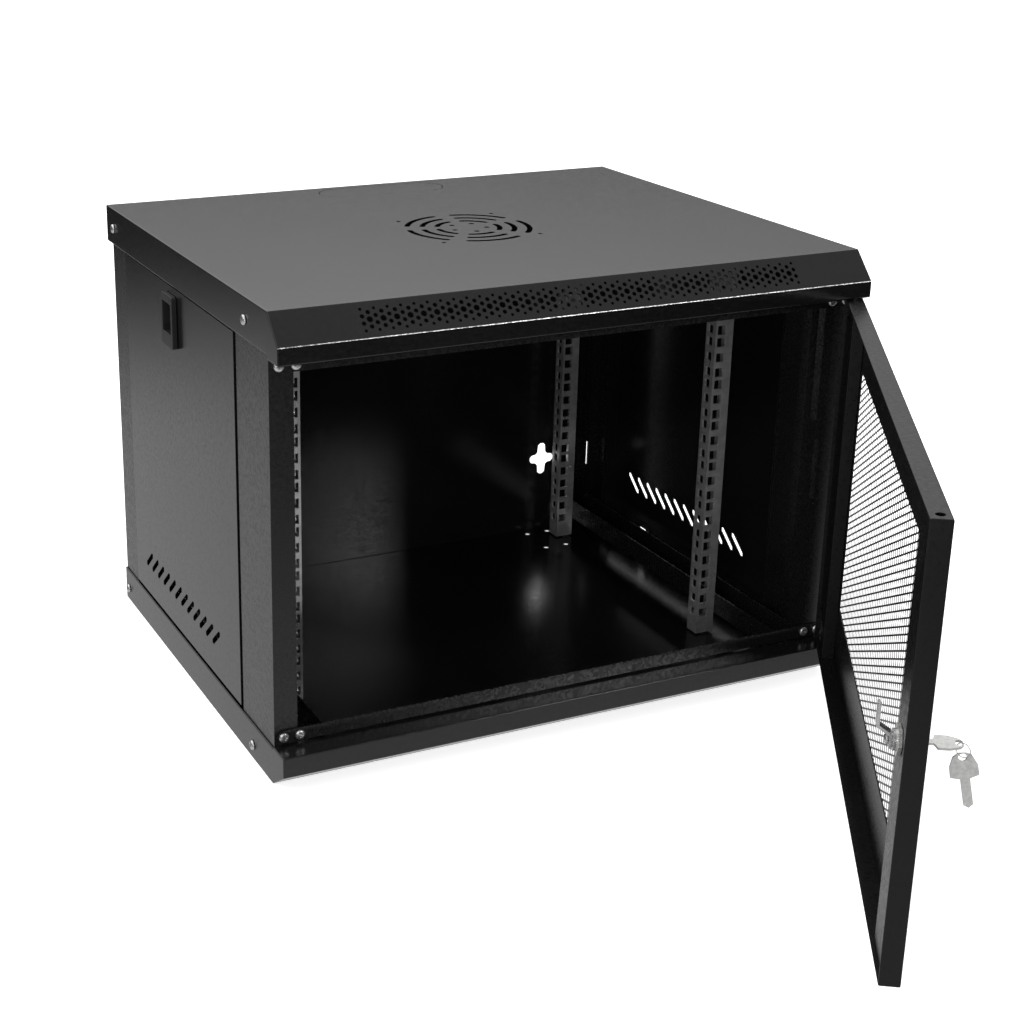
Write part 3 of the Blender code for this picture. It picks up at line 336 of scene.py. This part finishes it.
class Look:
    """A small helper that adds nodes to one material."""

    def __init__(self, name):
        self.material = bpy.data.materials.new(name)
        self.material.use_nodes = True
        self.tree = self.material.node_tree
        self.shader = self.tree.nodes["Principled BSDF"]
        coordinates = self.tree.nodes.new("ShaderNodeTexCoord")
        self.place = coordinates.outputs["Object"]

    def noise(self, scale, detail=2.0, roughness=0.5, stretch=None):
        source = self.place
        if stretch:
            mapping = self.tree.nodes.new("ShaderNodeMapping")
            mapping.inputs["Scale"].default_value = stretch
            self.tree.links.new(self.place, mapping.inputs["Vector"])
            source = mapping.outputs["Vector"]
        texture = self.tree.nodes.new("ShaderNodeTexNoise")
        texture.inputs["Scale"].default_value = scale
        texture.inputs["Detail"].default_value = detail
        texture.inputs["Roughness"].default_value = roughness
        self.tree.links.new(source, texture.inputs["Vector"])
        return texture.outputs["Fac"]

    def cells(self, scale):
        texture = self.tree.nodes.new("ShaderNodeTexVoronoi")
        texture.inputs["Scale"].default_value = scale
        self.tree.links.new(self.place, texture.inputs["Vector"])
        return texture.outputs["Color"], texture.outputs["Distance"]

    def ramp(self, value, stops):
        node = self.tree.nodes.new("ShaderNodeValToRGB")
        node.color_ramp.elements[0].position = stops[0][0]
        node.color_ramp.elements[0].color = (*stops[0][1], 1)
        node.color_ramp.elements[1].position = stops[1][0]
        node.color_ramp.elements[1].color = (*stops[1][1], 1)
        self.tree.links.new(value, node.inputs["Fac"])
        return node.outputs["Color"]

    def spread(self, value, low, high, from_low=0.3, from_high=0.7):
        node = self.tree.nodes.new("ShaderNodeMapRange")
        node.inputs["From Min"].default_value = from_low
        node.inputs["From Max"].default_value = from_high
        node.inputs["To Min"].default_value = low
        node.inputs["To Max"].default_value = high
        self.tree.links.new(value, node.inputs["Value"])
        return node.outputs["Result"]

    def feed(self, value, socket):
        self.tree.links.new(value, self.shader.inputs[socket])

    def bump(self, value, strength, distance, below=None):
        node = self.tree.nodes.new("ShaderNodeBump")
        node.inputs["Strength"].default_value = strength
        node.inputs["Distance"].default_value = distance
        self.tree.links.new(value, node.inputs["Height"])
        if below is not None:
            self.tree.links.new(below, node.inputs["Normal"])
        return node.outputs["Normal"]


def powder_coat(name, dark, light, rough, grain, specular=0.5):
    """Fine-textured black powder coat: a tight pebbled grain over a slow change of sheen."""
    look = Look(name)
    look.feed(look.ramp(look.noise(9.0, 3.0), ((0.35, dark), (0.65, light))), "Base Color")
    look.feed(look.spread(look.noise(260.0, 2.0), rough - 0.05, rough + 0.07), "Roughness")
    look.shader.inputs["Specular IOR Level"].default_value = specular
    fine = look.bump(look.noise(1500.0, 2.0, 0.6), grain, 0.00012)
    look.feed(look.bump(look.noise(520.0, 1.0, 0.5), grain * 0.2, 0.00015, fine), "Normal")
    return look.material


def fold_highlight_coat(name):
    """A painted highlight for a fold: light, metallic specks that stand in for the glint of light along the
    bend.
    """
    look = Look(name)
    specks = look.noise(650.0, 2.0, 0.6)
    # Painted highlight: the specks ramp from dark grey to light grey in the base colour to stand in for the
    # glint on the fold.
    look.feed(look.ramp(specks, ((0.42, (0.16, 0.16, 0.16)), (0.58, (0.66, 0.66, 0.65)))), "Base Color")
    look.feed(look.spread(specks, 0.55, 0.95), "Metallic")
    look.feed(look.spread(look.noise(900.0, 2.0), 0.30, 0.42), "Roughness")
    look.feed(look.bump(specks, 0.3, 0.0001), "Normal")
    return look.material


def zinc_plate(name, dark, light, rough, metallic):
    """Zinc plate: faint crystal patches and rolling marks along the height."""
    look = Look(name)
    patches, _ = look.cells(420.0)
    look.feed(look.ramp(look.noise(90.0, 4.0, 0.6), ((0.30, dark), (0.70, light))), "Base Color")
    look.shader.inputs["Metallic"].default_value = metallic
    look.feed(look.spread(look.noise(60.0, 3.0, 0.6, (1, 1, 0.08)), rough - 0.08, rough + 0.12), "Roughness")
    drawn = look.bump(look.noise(700.0, 2.0, 0.6, (1, 1, 0.05)), 0.25, 0.00008)
    look.feed(look.bump(patches, 0.06, 0.0001, drawn), "Normal")
    return look.material


def plated(name, dark, light, rough, metallic):
    """Bright plate on small turned or stamped pieces, with fine handling marks."""
    look = Look(name)
    look.feed(look.ramp(look.noise(400.0, 3.0), ((0.30, dark), (0.70, light))), "Base Color")
    look.shader.inputs["Metallic"].default_value = metallic
    look.feed(look.spread(look.noise(1100.0, 3.0, 0.6), rough - 0.06, rough + 0.10), "Roughness")
    look.feed(look.bump(look.noise(1800.0, 2.0), 0.12, 0.00005), "Normal")
    return look.material


def moulded_plastic(name):
    """Dull black plastic with a fine moulded grain."""
    look = Look(name)
    tint = ((0.3, (0.010, 0.010, 0.011)), (0.7, (0.016, 0.016, 0.017)))
    look.feed(look.ramp(look.noise(30.0, 2.0), tint), "Base Color")
    look.feed(look.spread(look.noise(900.0, 2.0), 0.38, 0.50), "Roughness")
    look.feed(look.bump(look.noise(2200.0, 1.0), 0.25, 0.00006), "Normal")
    return look.material


def pale_floor():
    """A near-white floor that glows a little, so that it stays pale all over."""
    look = Look("studio_floor")
    tint = ((0.3, (0.90, 0.90, 0.90)), (0.7, (0.92, 0.92, 0.92)))
    look.feed(look.ramp(look.noise(1.5, 1.0), tint), "Base Color")
    look.shader.inputs["Roughness"].default_value = 0.9
    look.shader.inputs["Specular IOR Level"].default_value = 0.0
    look.shader.inputs["Emission Color"].default_value = (1, 1, 1, 1)
    look.shader.inputs["Emission Strength"].default_value = 0.80
    return look.material


BLACK, DEEP_BLACK = (0.0075, 0.0075, 0.008), (0.0060, 0.0060, 0.0065)
WORN_BLACK, DEEP_WORN_BLACK = (0.011, 0.011, 0.0115), (0.0085, 0.0085, 0.009)
FRAME_BLACK, FRAME_WORN_BLACK = (0.0085, 0.0085, 0.009), (0.012, 0.012, 0.0125)
BODY_PAINT = powder_coat("body_powder_coat", BLACK, WORN_BLACK, 0.18, 0.24)
FRAME_PAINT = powder_coat("frame_powder_coat", FRAME_BLACK, FRAME_WORN_BLACK, 0.26, 0.20)
DOOR_PAINT = powder_coat("door_powder_coat", DEEP_BLACK, DEEP_WORN_BLACK, 0.30, 0.30, 0.22)
# The fold's painted highlight: a lighter speckled coat that stands in for the glint on the bend.
FOLD_HIGHLIGHT_PAINT = fold_highlight_coat("painted_fold_highlight")
LATCH_PLASTIC = moulded_plastic("latch_moulding")
RAIL_ZINC = zinc_plate("rail_zinc_plate", (0.60, 0.60, 0.60), (0.88, 0.88, 0.87), 0.31, 0.72)
BRIGHT_ZINC = plated("bright_zinc_plate", (0.50, 0.50, 0.50), (0.70, 0.70, 0.69), 0.28, 0.9)
KEY_NICKEL = plated("key_nickel_plate", (0.62, 0.62, 0.61), (0.80, 0.79, 0.77), 0.34, 0.55)


# ---------------------------------------------------------------- top cover

SLOPE_PITCH = 0.0125
SLOPE_HALF_COLUMNS = 35
SLOPE_ROW_PITCH = 0.00345
SLOPE_SMALL, SLOPE_MEDIUM, SLOPE_LARGE = 0.0015, 0.0021, 0.0031
FOLD_TILT = (0.10, 0.62)
FAN_RADII = ((0.0610, 26.0), (0.0460, 25.0), (0.0313, 22.5))
FAN_SLOT_WIDTH = 0.0056
FAN_CENTRE_Y = 0.003
FAN_SCREW_SPACING = 0.105
FAN_SCREW_RADIUS = 0.0023
FAN_DOT_RING = 0.0185
FAN_DOT_RADIUS = 0.0028
KNOCKOUT_GAP = 0.0004
HINGE_HOLE_RADIUS = 0.0036
SCREW_HOLE_RADIUS = 0.0027
OVERSHOOT = 0.01


def slope_holes():
    """Columns of four round holes between columns of three, the middle one of which is large."""
    slope = math.atan2(COVER_SLOPE_DROP, COVER_SLOPE_DEPTH)
    turn = Matrix.Rotation(slope, 4, "X")
    middle = Vector((0, FRONT + COVER_SLOPE_DEPTH / 2, TOP - COVER_SLOPE_DROP / 2))
    rows_of_four = ((-3, SLOPE_SMALL), (-1, SLOPE_MEDIUM), (1, SLOPE_MEDIUM), (3, SLOPE_SMALL))
    rows_of_three = ((-2, SLOPE_MEDIUM), (0, SLOPE_LARGE), (2, SLOPE_MEDIUM))
    cutters = []
    for half_step in range(2 * SLOPE_HALF_COLUMNS + 1):
        x = (half_step - SLOPE_HALF_COLUMNS) * SLOPE_PITCH / 2
        for row, radius in rows_of_three if half_step % 2 else rows_of_four:
            sides = 6 if radius == SLOPE_LARGE else 10
            outline = circle((0, row * SLOPE_ROW_PITCH), radius, sides, math.pi / 6)
            cutter = prism(outline, -PUNCH, PUNCH, "XY")
            move = Matrix.Translation(middle + Vector((x, 0, 0)))
            bmesh.ops.transform(cutter, matrix=move @ turn, verts=cutter.verts)
            cutters.append(cutter)
    return cutters


def fan_holes():
    centre = (0, FAN_CENTRE_Y)
    low, high = TOP - PUNCH, TOP + PUNCH
    cutters = []
    for number in range(5):
        middle = -90 + 72 * number
        for radius, half in FAN_RADII:
            cutters.append(prism(arc_slot(centre, radius, FAN_SLOT_WIDTH, middle, half), low, high, "XY"))
        turn = math.radians(middle)
        dot = (FAN_DOT_RING * math.cos(turn), FAN_CENTRE_Y + FAN_DOT_RING * math.sin(turn))
        cutters.append(prism(circle(dot, FAN_DOT_RADIUS, 12), low, high, "XY"))
    for sx in (-1, 1):
        for sy in (-1, 1):
            hole = (sx * FAN_SCREW_SPACING / 2, FAN_CENTRE_Y + sy * FAN_SCREW_SPACING / 2)
            cutters.append(prism(circle(hole, FAN_SCREW_RADIUS, 12), low, high, "XY"))
    return cutters


def knockout_outline(grow):
    length = KNOCKOUT_HIGH.x - KNOCKOUT_LOW.x + 2 * grow
    width = KNOCKOUT_HIGH.y - KNOCKOUT_LOW.y + 2 * grow
    return stadium((0, (KNOCKOUT_LOW.y + KNOCKOUT_HIGH.y) / 2), length, width, steps=12)


def hinge_hole(low, high, x=HINGE_X):
    return prism(circle((x, HINGE_Y), HINGE_HOLE_RADIUS, 20), low, high, "XY")


def side_screw_holes():
    holes = []
    for name in frame["nodes"]:
        if not name.startswith(("cover_screw", "base_screw")):
            continue
        low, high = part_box(name)
        side = 1 if low.x > 0 else -1
        span = sorted((side * (HALF_WIDTH - 2 * PUNCH), side * (HALF_WIDTH + PUNCH)))
        centre = ((low.y + high.y) / 2, (low.z + high.z) / 2)
        holes.append(prism(circle(centre, SCREW_HOLE_RADIUS, 16), *span, "YZ"))
    return holes


def paint_fold_highlight(cover):
    """Paints a highlight on the outer fold between the fascia and the sloping strip, as a lighter speckled
    coat.
    """
    cover.data.materials.append(FOLD_HIGHLIGHT_PAINT)
    for face in cover.data.polygons:
        tilted = FOLD_TILT[0] < face.normal.z < FOLD_TILT[1] and face.normal.y < -0.5
        if tilted and face.center.y < FRONT + BEND and face.center.z > TOP - COVER_SLOPE_DROP - BEND:
            face.material_index = 1


def make_cover():
    ledge_y = FRONT + LEDGE_DEPTH
    outline = [
        (FRONT, COVER_FASCIA_BOTTOM),
        (FRONT, TOP - COVER_SLOPE_DROP),
        (FRONT + COVER_SLOPE_DEPTH, TOP),
        (COVER_HIGH.y, TOP),
        (COVER_HIGH.y, COVER_SKIRT_BOTTOM),
        (ledge_y, COVER_SKIRT_BOTTOM),
        (ledge_y, COVER_FASCIA_BOTTOM),
    ]
    folded = rounded(outline, BEND, 4)
    cover = add("cover", mesh_of("cover", [prism(folded, COVER_LOW.x, COVER_HIGH.x, "YZ")]))
    bevel(cover, SKIN_ROUNDING, 3, 60)
    inner = offset(outline, SHEET)
    inner[3] = (COVER_HIGH.y - SHEET, TOP - SHEET)
    inner[4] = (COVER_HIGH.y - SHEET, COVER_FASCIA_BOTTOM - OVERSHOOT)
    inner[5] = (ledge_y, COVER_FASCIA_BOTTOM - OVERSHOOT)
    inner[6] = (ledge_y, COVER_FASCIA_BOTTOM + SHEET)
    cut(cover, [prism(inner, COVER_LOW.x + SHEET, COVER_HIGH.x - SHEET, "YZ")])
    holes = slope_holes() + fan_holes() + side_screw_holes()
    holes.append(prism(knockout_outline(KNOCKOUT_GAP), TOP - OVERSHOOT, TOP + OVERSHOOT, "XY"))
    holes.append(hinge_hole(COVER_FASCIA_BOTTOM - 0.002, COVER_FASCIA_BOTTOM + 0.004))
    cut(cover, holes)
    bake_shape(cover)
    finish_piece(cover, BODY_PAINT, "cabinet", ("top_cover",))
    # Painted highlight along the fold between the fascia and the slope.
    paint_fold_highlight(cover)
    refined("top_knockout", BODY_PAINT, 0.0002)


# ---------------------------------------------------------------- base

FLOOR_HOLES_X = 0.2137
FLOOR_HOLES_Y = 0.198
FLOOR_HOLE_STEP = (0.027, 0.047)
FLOOR_HOLE_RADIUS = 0.0032


def make_base():
    ledge_y = FRONT + LEDGE_DEPTH
    outline = [
        (FRONT + BASE_SLOPE_DEPTH, 0),
        (FRONT, BASE_SLOPE_RISE),
        (FRONT, BASE_FASCIA_TOP),
        (ledge_y, BASE_FASCIA_TOP),
        (ledge_y, BASE_RIM_TOP),
        (BASE_HIGH.y, BASE_RIM_TOP),
        (BASE_HIGH.y, 0),
    ]
    folded = rounded(outline, BASE_BEND, 4)
    base = add("base", mesh_of("base", [prism(folded, BASE_LOW.x, BASE_HIGH.x, "YZ")]))
    bevel(base, SKIN_ROUNDING, 3, 60)
    inner = offset(outline, SHEET)
    inner[3] = (ledge_y, BASE_FASCIA_TOP - SHEET)
    inner[4] = (ledge_y, BASE_FASCIA_TOP + OVERSHOOT)
    inner[5] = (BASE_HIGH.y - SHEET, BASE_FASCIA_TOP + OVERSHOOT)
    cut(base, [prism(inner, BASE_LOW.x + SHEET, BASE_HIGH.x - SHEET, "YZ")])
    holes = [hinge_hole(BASE_FASCIA_TOP - 0.004, BASE_FASCIA_TOP + 0.002)] + side_screw_holes()
    for sx in (-1, 1):
        for sy in (-1, 1):
            for ux in (-0.5, 0.5):
                for uy in (-0.5, 0.5):
                    x = sx * FLOOR_HOLES_X + ux * FLOOR_HOLE_STEP[0]
                    y = sy * FLOOR_HOLES_Y + uy * FLOOR_HOLE_STEP[1]
                    holes.append(prism(circle((x, y), FLOOR_HOLE_RADIUS, 16), -PUNCH / 2, PUNCH, "XY"))
    rim_hole = stadium(RIM_HOLE_PLACE, RIM_HOLE_LENGTH, RIM_HOLE_HEIGHT)
    holes.append(prism(rim_hole, HALF_WIDTH - PUNCH, HALF_WIDTH + PUNCH, "YZ"))
    cut(base, holes)
    bake_shape(base)
    finish_piece(base, BODY_PAINT, "cabinet", ("base_tray",))


# ---------------------------------------------------------------- rails

UNIT = 0.04445
UNIT_START = 0.020
UNITS = 9
FLANGE_HOLE_SPAN = (0.0055, 0.0135)
FLANGE_HOLE_HALF = 0.0045
FLANGE_HOLE_CORNER = 0.0012
RAIL_ROUNDING = 0.00035
UNIT_OFFSETS = (0.00635, 0.022225, 0.0381)


def rail_hole_heights():
    return [UNIT_START + UNIT * unit + step for unit in range(UNITS) for step in UNIT_OFFSETS]


def make_rail(node):
    """A U-shaped rail: square holes in its face and oblong ones in its inner flange."""
    low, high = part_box(node)
    side = 1 if low.x > 0 else -1
    cuts = []
    for z in rail_hole_heights():
        near, far = FLANGE_HOLE_SPAN
        hole = rectangle((low.y + near, z - FLANGE_HOLE_HALF), (low.y + far, z + FLANGE_HOLE_HALF))
        span = sorted((side * (RAIL_LOW.x - PUNCH / 2), side * (RAIL_LOW.x + PUNCH)))
        cuts.append(prism(rounded(hole, FLANGE_HOLE_CORNER, 2), *span, "YZ"))
    refined(node, RAIL_ZINC, RAIL_ROUNDING, cuts)


# ---------------------------------------------------------------- screws

def screw_mesh():
    """A pan-head machine screw along +Z, its seat at the origin, with a cross recess."""
    profile = [
        (0, -0.0054),
        (0.0019, -0.0054),
        (0.0022, -0.0050),
        (0.0022, 0),
        (0.0044, 0),
        (0.0047, 0.0003),
        (0.0047, 0.0009),
        (0.0043, 0.0017),
        (0.0034, 0.0023),
        (0.0020, 0.00255),
        (0, 0.0026),
    ]
    screw = add("screw_pattern", mesh_of("screw", [turned(profile, 28, (0, 0), "XY")]))
    for turn in (0, math.pi / 2):
        arm = stadium((0, 0), 0.0050, 0.0011, turn + 0.4, 3)
        cut(screw, [prism(arm, 0.0011, 0.004, "XY")])
    bake_shape(screw, 30)
    return screw


def make_screws():
    pattern = screw_mesh()
    names = [n for n in frame["nodes"] if "screw_" in n and n != "cam_screw"]
    for number, name in enumerate(sorted(names)):
        low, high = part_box(name)
        if name.startswith("bar_screw"):
            seat = Vector(((low.x + high.x) / 2, high.y - 0.0055, (low.z + high.z) / 2))
            outwards = Vector((0, -1, 0))
        else:
            side = 1 if low.x > 0 else -1
            seat = Vector((side * (HALF_WIDTH + GAP), (low.y + high.y) / 2, (low.z + high.z) / 2))
            outwards = Vector((side, 0, 0))
        mesh = pattern.data.copy()
        spin = Matrix.Rotation(0.9 * number, 4, "Z")
        aim = outwards.to_track_quat("Z", "Y").to_matrix().to_4x4()
        mesh.transform(Matrix.Translation(seat) @ aim @ spin)
        finish_piece(add(f"{name}_head", mesh), BRIGHT_ZINC, "cabinet", (name,))
    bpy.data.objects.remove(pattern)


# ---------------------------------------------------------------- door

DOOR_ROUNDING = 0.0011
LOCK_HOLE_RADIUS = 0.0083
VENT_ROWS = 36
VENT_COLUMNS = 50
VENT_SLANT = 0.47
VENT_HOLE_WIDTH = 0.0083
VENT_HOLE_HEIGHT = 0.0052
VENT_HOLE_CORNER = 0.0012
VENT_SHEET = 0.0003
VENT_WELD = 0.00001


def open_door_mesh(piece):
    """Turns a piece drawn on the shut door to where the frame holds the door."""
    c, s = math.cos(DOOR_OPEN), math.sin(DOOR_OPEN)
    spin = Matrix(((c, -s, 0, 0), (s, c, 0, 0), (0, 0, 1, 0), (0, 0, 0, 1)))
    to_axis = Matrix.Translation((HINGE_X, HINGE_Y, 0))
    piece.data.transform(to_axis @ spin @ to_axis.inverted())
    return piece


def make_door_tray():
    half, back = DOOR_HALF_WIDTH, FRONT + DOOR_DEPTH
    tray = add("door_tray", mesh_of("door_tray", [box((-half, FRONT, DOOR_BOTTOM), (half, back, DOOR_TOP))]))
    bevel(tray, DOOR_ROUNDING, 3, 60)
    hollow_low = (SHEET - half, FRONT + SHEET, DOOR_BOTTOM + SHEET)
    hollow_high = (half - SHEET, back + OVERSHOOT, DOOR_TOP - SHEET)
    cut(tray, [box(hollow_low, hollow_high)])
    window = box(
        (WINDOW_SIDE - half, FRONT - OVERSHOOT, DOOR_BOTTOM + WINDOW_END),
        (half - WINDOW_SIDE, FRONT + OVERSHOOT, DOOR_TOP - WINDOW_END),
    )
    lock_outline = circle((LOCK_X, LOCK_Z), LOCK_HOLE_RADIUS, 32)
    holes = [window, prism(lock_outline, FRONT - OVERSHOOT, FRONT + OVERSHOOT, "XZ")]
    for x in (-HINGE_X, HINGE_X):
        holes.append(hinge_hole(DOOR_BOTTOM - 0.003, DOOR_BOTTOM + 0.004, x))
        holes.append(hinge_hole(DOOR_TOP - 0.004, DOOR_TOP + 0.003, x))
    cut(tray, holes)
    bake_shape(tray)
    open_door_mesh(tray)
    finish_piece(tray, DOOR_PAINT, "door", ("door_shell",))


def vent_cell(column_pitch, row_pitch):
    """One slanted cell about the origin: its outline and its six-sided hole, and the faces between them."""
    half_x, half_z = column_pitch / 2, row_pitch / 2
    u, v, corner = VENT_HOLE_WIDTH / 2, VENT_HOLE_HEIGHT / 2, VENT_HOLE_CORNER
    outline = [(-half_x, -half_z), (half_x, -half_z), (half_x, half_z), (-half_x, half_z)]
    hole = [(-u, -v), (u - corner, -v), (u, corner - v), (u, v), (corner - u, v), (-u, v - corner)]
    points = [(x, z - VENT_SLANT * x) for x, z in outline + hole]
    faces = [(0, 1, 5, 4), (1, 6, 5), (1, 2, 7, 6), (2, 3, 8, 7), (3, 9, 8), (3, 0, 4, 9)]
    return points, faces


def make_door_vents():
    """The punched field: slanting rows of holes in one thin sheet, cut off level at its top and bottom."""
    half_width = DOOR_HALF_WIDTH - WINDOW_SIDE
    bottom = DOOR_BOTTOM + WINDOW_END
    top = DOOR_TOP - WINDOW_END
    column_pitch = 2 * half_width / VENT_COLUMNS
    row_pitch = (top - bottom) / VENT_ROWS
    rise = math.ceil(VENT_SLANT * half_width / row_pitch) + 1
    points, faces = vent_cell(column_pitch, row_pitch)
    sheet = bmesh.new()
    for column in range(VENT_COLUMNS):
        x = -half_width + (column + 0.5) * column_pitch
        for row in range(-rise, VENT_ROWS + rise):
            z = bottom + (row + 0.5) * row_pitch - VENT_SLANT * x
            if bottom - 2 * row_pitch < z < top + 2 * row_pitch:
                corners = [sheet.verts.new((x + u, FRONT, z + v)) for u, v in points]
                for face in faces:
                    sheet.faces.new([corners[i] for i in face])
    bmesh.ops.remove_doubles(sheet, verts=sheet.verts, dist=VENT_WELD)
    for height, outwards in ((bottom, -1), (top, 1)):
        whole = [*sheet.verts, *sheet.edges, *sheet.faces]
        bmesh.ops.bisect_plane(
            sheet, geom=whole, plane_co=(0, 0, height), plane_no=(0, 0, outwards), clear_outer=True
        )
    vents = add("door_vents", mesh_of("door_vents", [sheet]))
    thickness = vents.modifiers.new("Thickness", "SOLIDIFY")
    thickness.thickness = VENT_SHEET
    thickness.offset = -1
    bake_shape(vents)
    open_door_mesh(vents)
    finish_piece(vents, DOOR_PAINT, "door", ("door_mesh",))


# ---------------------------------------------------------------- whole cabinet

KEY_RING_EASE = 0.00012
FRAME_NODES = (
    "front_left_post", "front_right_post", "rear_left_post", "rear_right_post", "front_bottom_bar",
    "front_top_bar", "lower_left_bracket", "lower_right_bracket", "upper_left_bracket", "upper_right_bracket",
)
DOOR_NODES = ("lock_stiffener", "hinge_stiffener", "hinge_pin_bracket")
LOCK_NODES = ("lock_barrel", "lock_nut", "lock_plug", "lock_cam", "cam_screw")
PIN_NODES = ("upper_hinge_pin", "lower_hinge_pin")


def make_plain_nodes():
    """The pieces that keep their CAD shape and only get rounded edges and a finish."""
    refined("back_panel", BODY_PAINT)
    for node in FRAME_NODES:
        refined(node, FRAME_PAINT)
    for node in ("left_side_panel", "right_side_panel"):
        refined(node, BODY_PAINT, 0.0004)
    for node in DOOR_NODES:
        refined(node, DOOR_PAINT)
    for side in ("left", "right"):
        refined(f"{side}_latch_housing", LATCH_PLASTIC, 0.0006)
        refined(f"{side}_latch_slider", LATCH_PLASTIC, 0.0004)
    for node in LOCK_NODES + PIN_NODES:
        refined(node, BRIGHT_ZINC, 0.0002)
    for node in ("key", "spare_key"):
        refined(node, KEY_NICKEL, 0.0002)
    refined("key_ring", KEY_NICKEL, 0.00003, slim=KEY_RING_EASE)
    spring = frame["nodes"]["hinge_pin_spring"]
    spring.data.materials.clear()
    spring.data.materials.append(BRIGHT_ZINC)


# ---------------------------------------------------------------- studio

def make_studio():
    shape = bmesh.new()
    bmesh.ops.create_grid(shape, x_segments=2, y_segments=2, size=30.0)
    floor = add("floor", mesh_of("floor", [shape]))
    floor.location.z = -0.0005
    floor.data.materials.append(pale_floor())
    floor.visible_glossy = False
    floor.visible_diffuse = False


WORLD_BASE = 0.04
FLOOR_GLOW = ((-0.375, -0.275), (0.95, 0.80))
SKY_GLOW = ((0.08, 0.50), (0.55, 2.20))
GLOW_TILT = -0.06
GLOW_HEADING = (-0.45, 0.89, 0.0)


def smooth_range(tree, value, from_range, to_range):
    node = tree.nodes.new("ShaderNodeMapRange")
    node.interpolation_type = "SMOOTHSTEP"
    node.inputs["From Min"].default_value, node.inputs["From Max"].default_value = from_range
    node.inputs["To Min"].default_value, node.inputs["To Max"].default_value = to_range
    tree.links.new(value, node.inputs["Value"])
    return node.outputs["Result"]


def arithmetic(tree, operation, one, two):
    node = tree.nodes.new("ShaderNodeMath")
    node.operation = operation
    tree.links.new(one, node.inputs[0])
    if isinstance(two, float):
        node.inputs[1].default_value = two
    else:
        tree.links.new(two, node.inputs[1])
    return node.outputs["Value"]


def make_world():
    """White for the camera; for the object, a lit floor and ceiling with a dark band round the horizon."""
    world = bpy.data.worlds.new("studio")
    bpy.context.scene.world = world
    world.use_nodes = True
    tree = world.node_tree
    tree.nodes.clear()
    direction = tree.nodes.new("ShaderNodeTexCoord").outputs["Generated"]
    height = tree.nodes.new("ShaderNodeSeparateXYZ")
    tree.links.new(direction, height.inputs["Vector"])
    behind = tree.nodes.new("ShaderNodeVectorMath")
    behind.operation = "DOT_PRODUCT"
    behind.inputs[1].default_value = GLOW_HEADING
    tree.links.new(direction, behind.inputs[0])
    glows = []
    tilt = arithmetic(tree, "MULTIPLY", behind.outputs["Value"], GLOW_TILT)
    floor_height = arithmetic(tree, "ADD", height.outputs["Z"], tilt)
    sky_height = height.outputs["Z"]
    for level, (heights, strengths), ends in (
        (floor_height, FLOOR_GLOW, (1.0, 0.0)),
        (sky_height, SKY_GLOW, (0.0, 1.0)),
    ):
        amount = smooth_range(tree, level, heights, ends)
        strength = smooth_range(tree, behind.outputs["Value"], (-0.4, 0.6), strengths)
        glows.append(arithmetic(tree, "MULTIPLY", amount, strength))
    total = arithmetic(tree, "ADD", arithmetic(tree, "ADD", glows[0], glows[1]), WORLD_BASE)
    studio = tree.nodes.new("ShaderNodeBackground")
    tree.links.new(total, studio.inputs["Strength"])
    white = tree.nodes.new("ShaderNodeBackground")
    white.inputs["Color"].default_value = (1, 1, 1, 1)
    paths = tree.nodes.new("ShaderNodeLightPath")
    mix = tree.nodes.new("ShaderNodeMixShader")
    tree.links.new(paths.outputs["Is Camera Ray"], mix.inputs["Fac"])
    tree.links.new(studio.outputs["Background"], mix.inputs[1])
    tree.links.new(white.outputs["Background"], mix.inputs[2])
    out = tree.nodes.new("ShaderNodeOutputWorld")
    tree.links.new(mix.outputs["Shader"], out.inputs["Surface"])


def area_light(name, place, target, size, power, diffuse=True):
    light = bpy.data.lights.new(name, "AREA")
    light.shape = "RECTANGLE"
    light.size, light.size_y = size
    light.energy = power
    made = add(name, light)
    made.location = place
    made.visible_diffuse = diffuse
    made.rotation_euler = (Vector(target) - Vector(place)).to_track_quat("-Z", "Y").to_euler()
    return made


def make_lights():
    area_light("key_light", (-1.6, -1.5, 1.5), (-0.1, -0.2, 0.2), (1.2, 1.2), 5)
    area_light("top_light", (0.0, 0.2, 2.2), (0, 0, 0.4), (1.6, 1.6), 6)
    area_light("edge_light", (1.5, -2.6, 1.45), (0, -0.25, 0.4), (0.5, 0.5), 40, False)
    area_light("glint_light", (-1.25, -2.1, 0.45), (0.1, -0.1, 0.2), (0.35, 0.9), 7)


CAMERA_PLACE = (-0.80316, -1.58240, 0.81867)
CAMERA_HEADING_DEG = 24.691
CAMERA_DOWN_DEG = 19.158
CAMERA_ROLL_DEG = 0.473


def make_camera():
    data = bpy.data.cameras.new("camera")
    camera = add("camera", data)
    data.lens = 63.73
    data.sensor_width = 36.0
    data.shift_x = 0.1107
    data.shift_y = -0.0573
    data.clip_end = 100.0
    camera.location = CAMERA_PLACE
    aim = Matrix.Rotation(-math.radians(CAMERA_HEADING_DEG), 4, "Z")
    tilt = Matrix.Rotation(math.radians(90 - CAMERA_DOWN_DEG), 4, "X")
    roll = Matrix.Rotation(math.radians(CAMERA_ROLL_DEG), 4, "Z")
    camera.rotation_euler = (aim @ tilt @ roll).to_euler()
    bpy.context.scene.camera = camera


def main():
    make_camera()
    make_cover()
    make_base()
    for node in ("front_left_rail", "front_right_rail", "rear_left_rail", "rear_right_rail"):
        make_rail(node)
    make_screws()
    make_plain_nodes()
    make_door_tray()
    make_door_vents()
    make_studio()
    make_world()
    make_lights()
    bpy.context.scene.view_settings.view_transform = "Standard"


main()
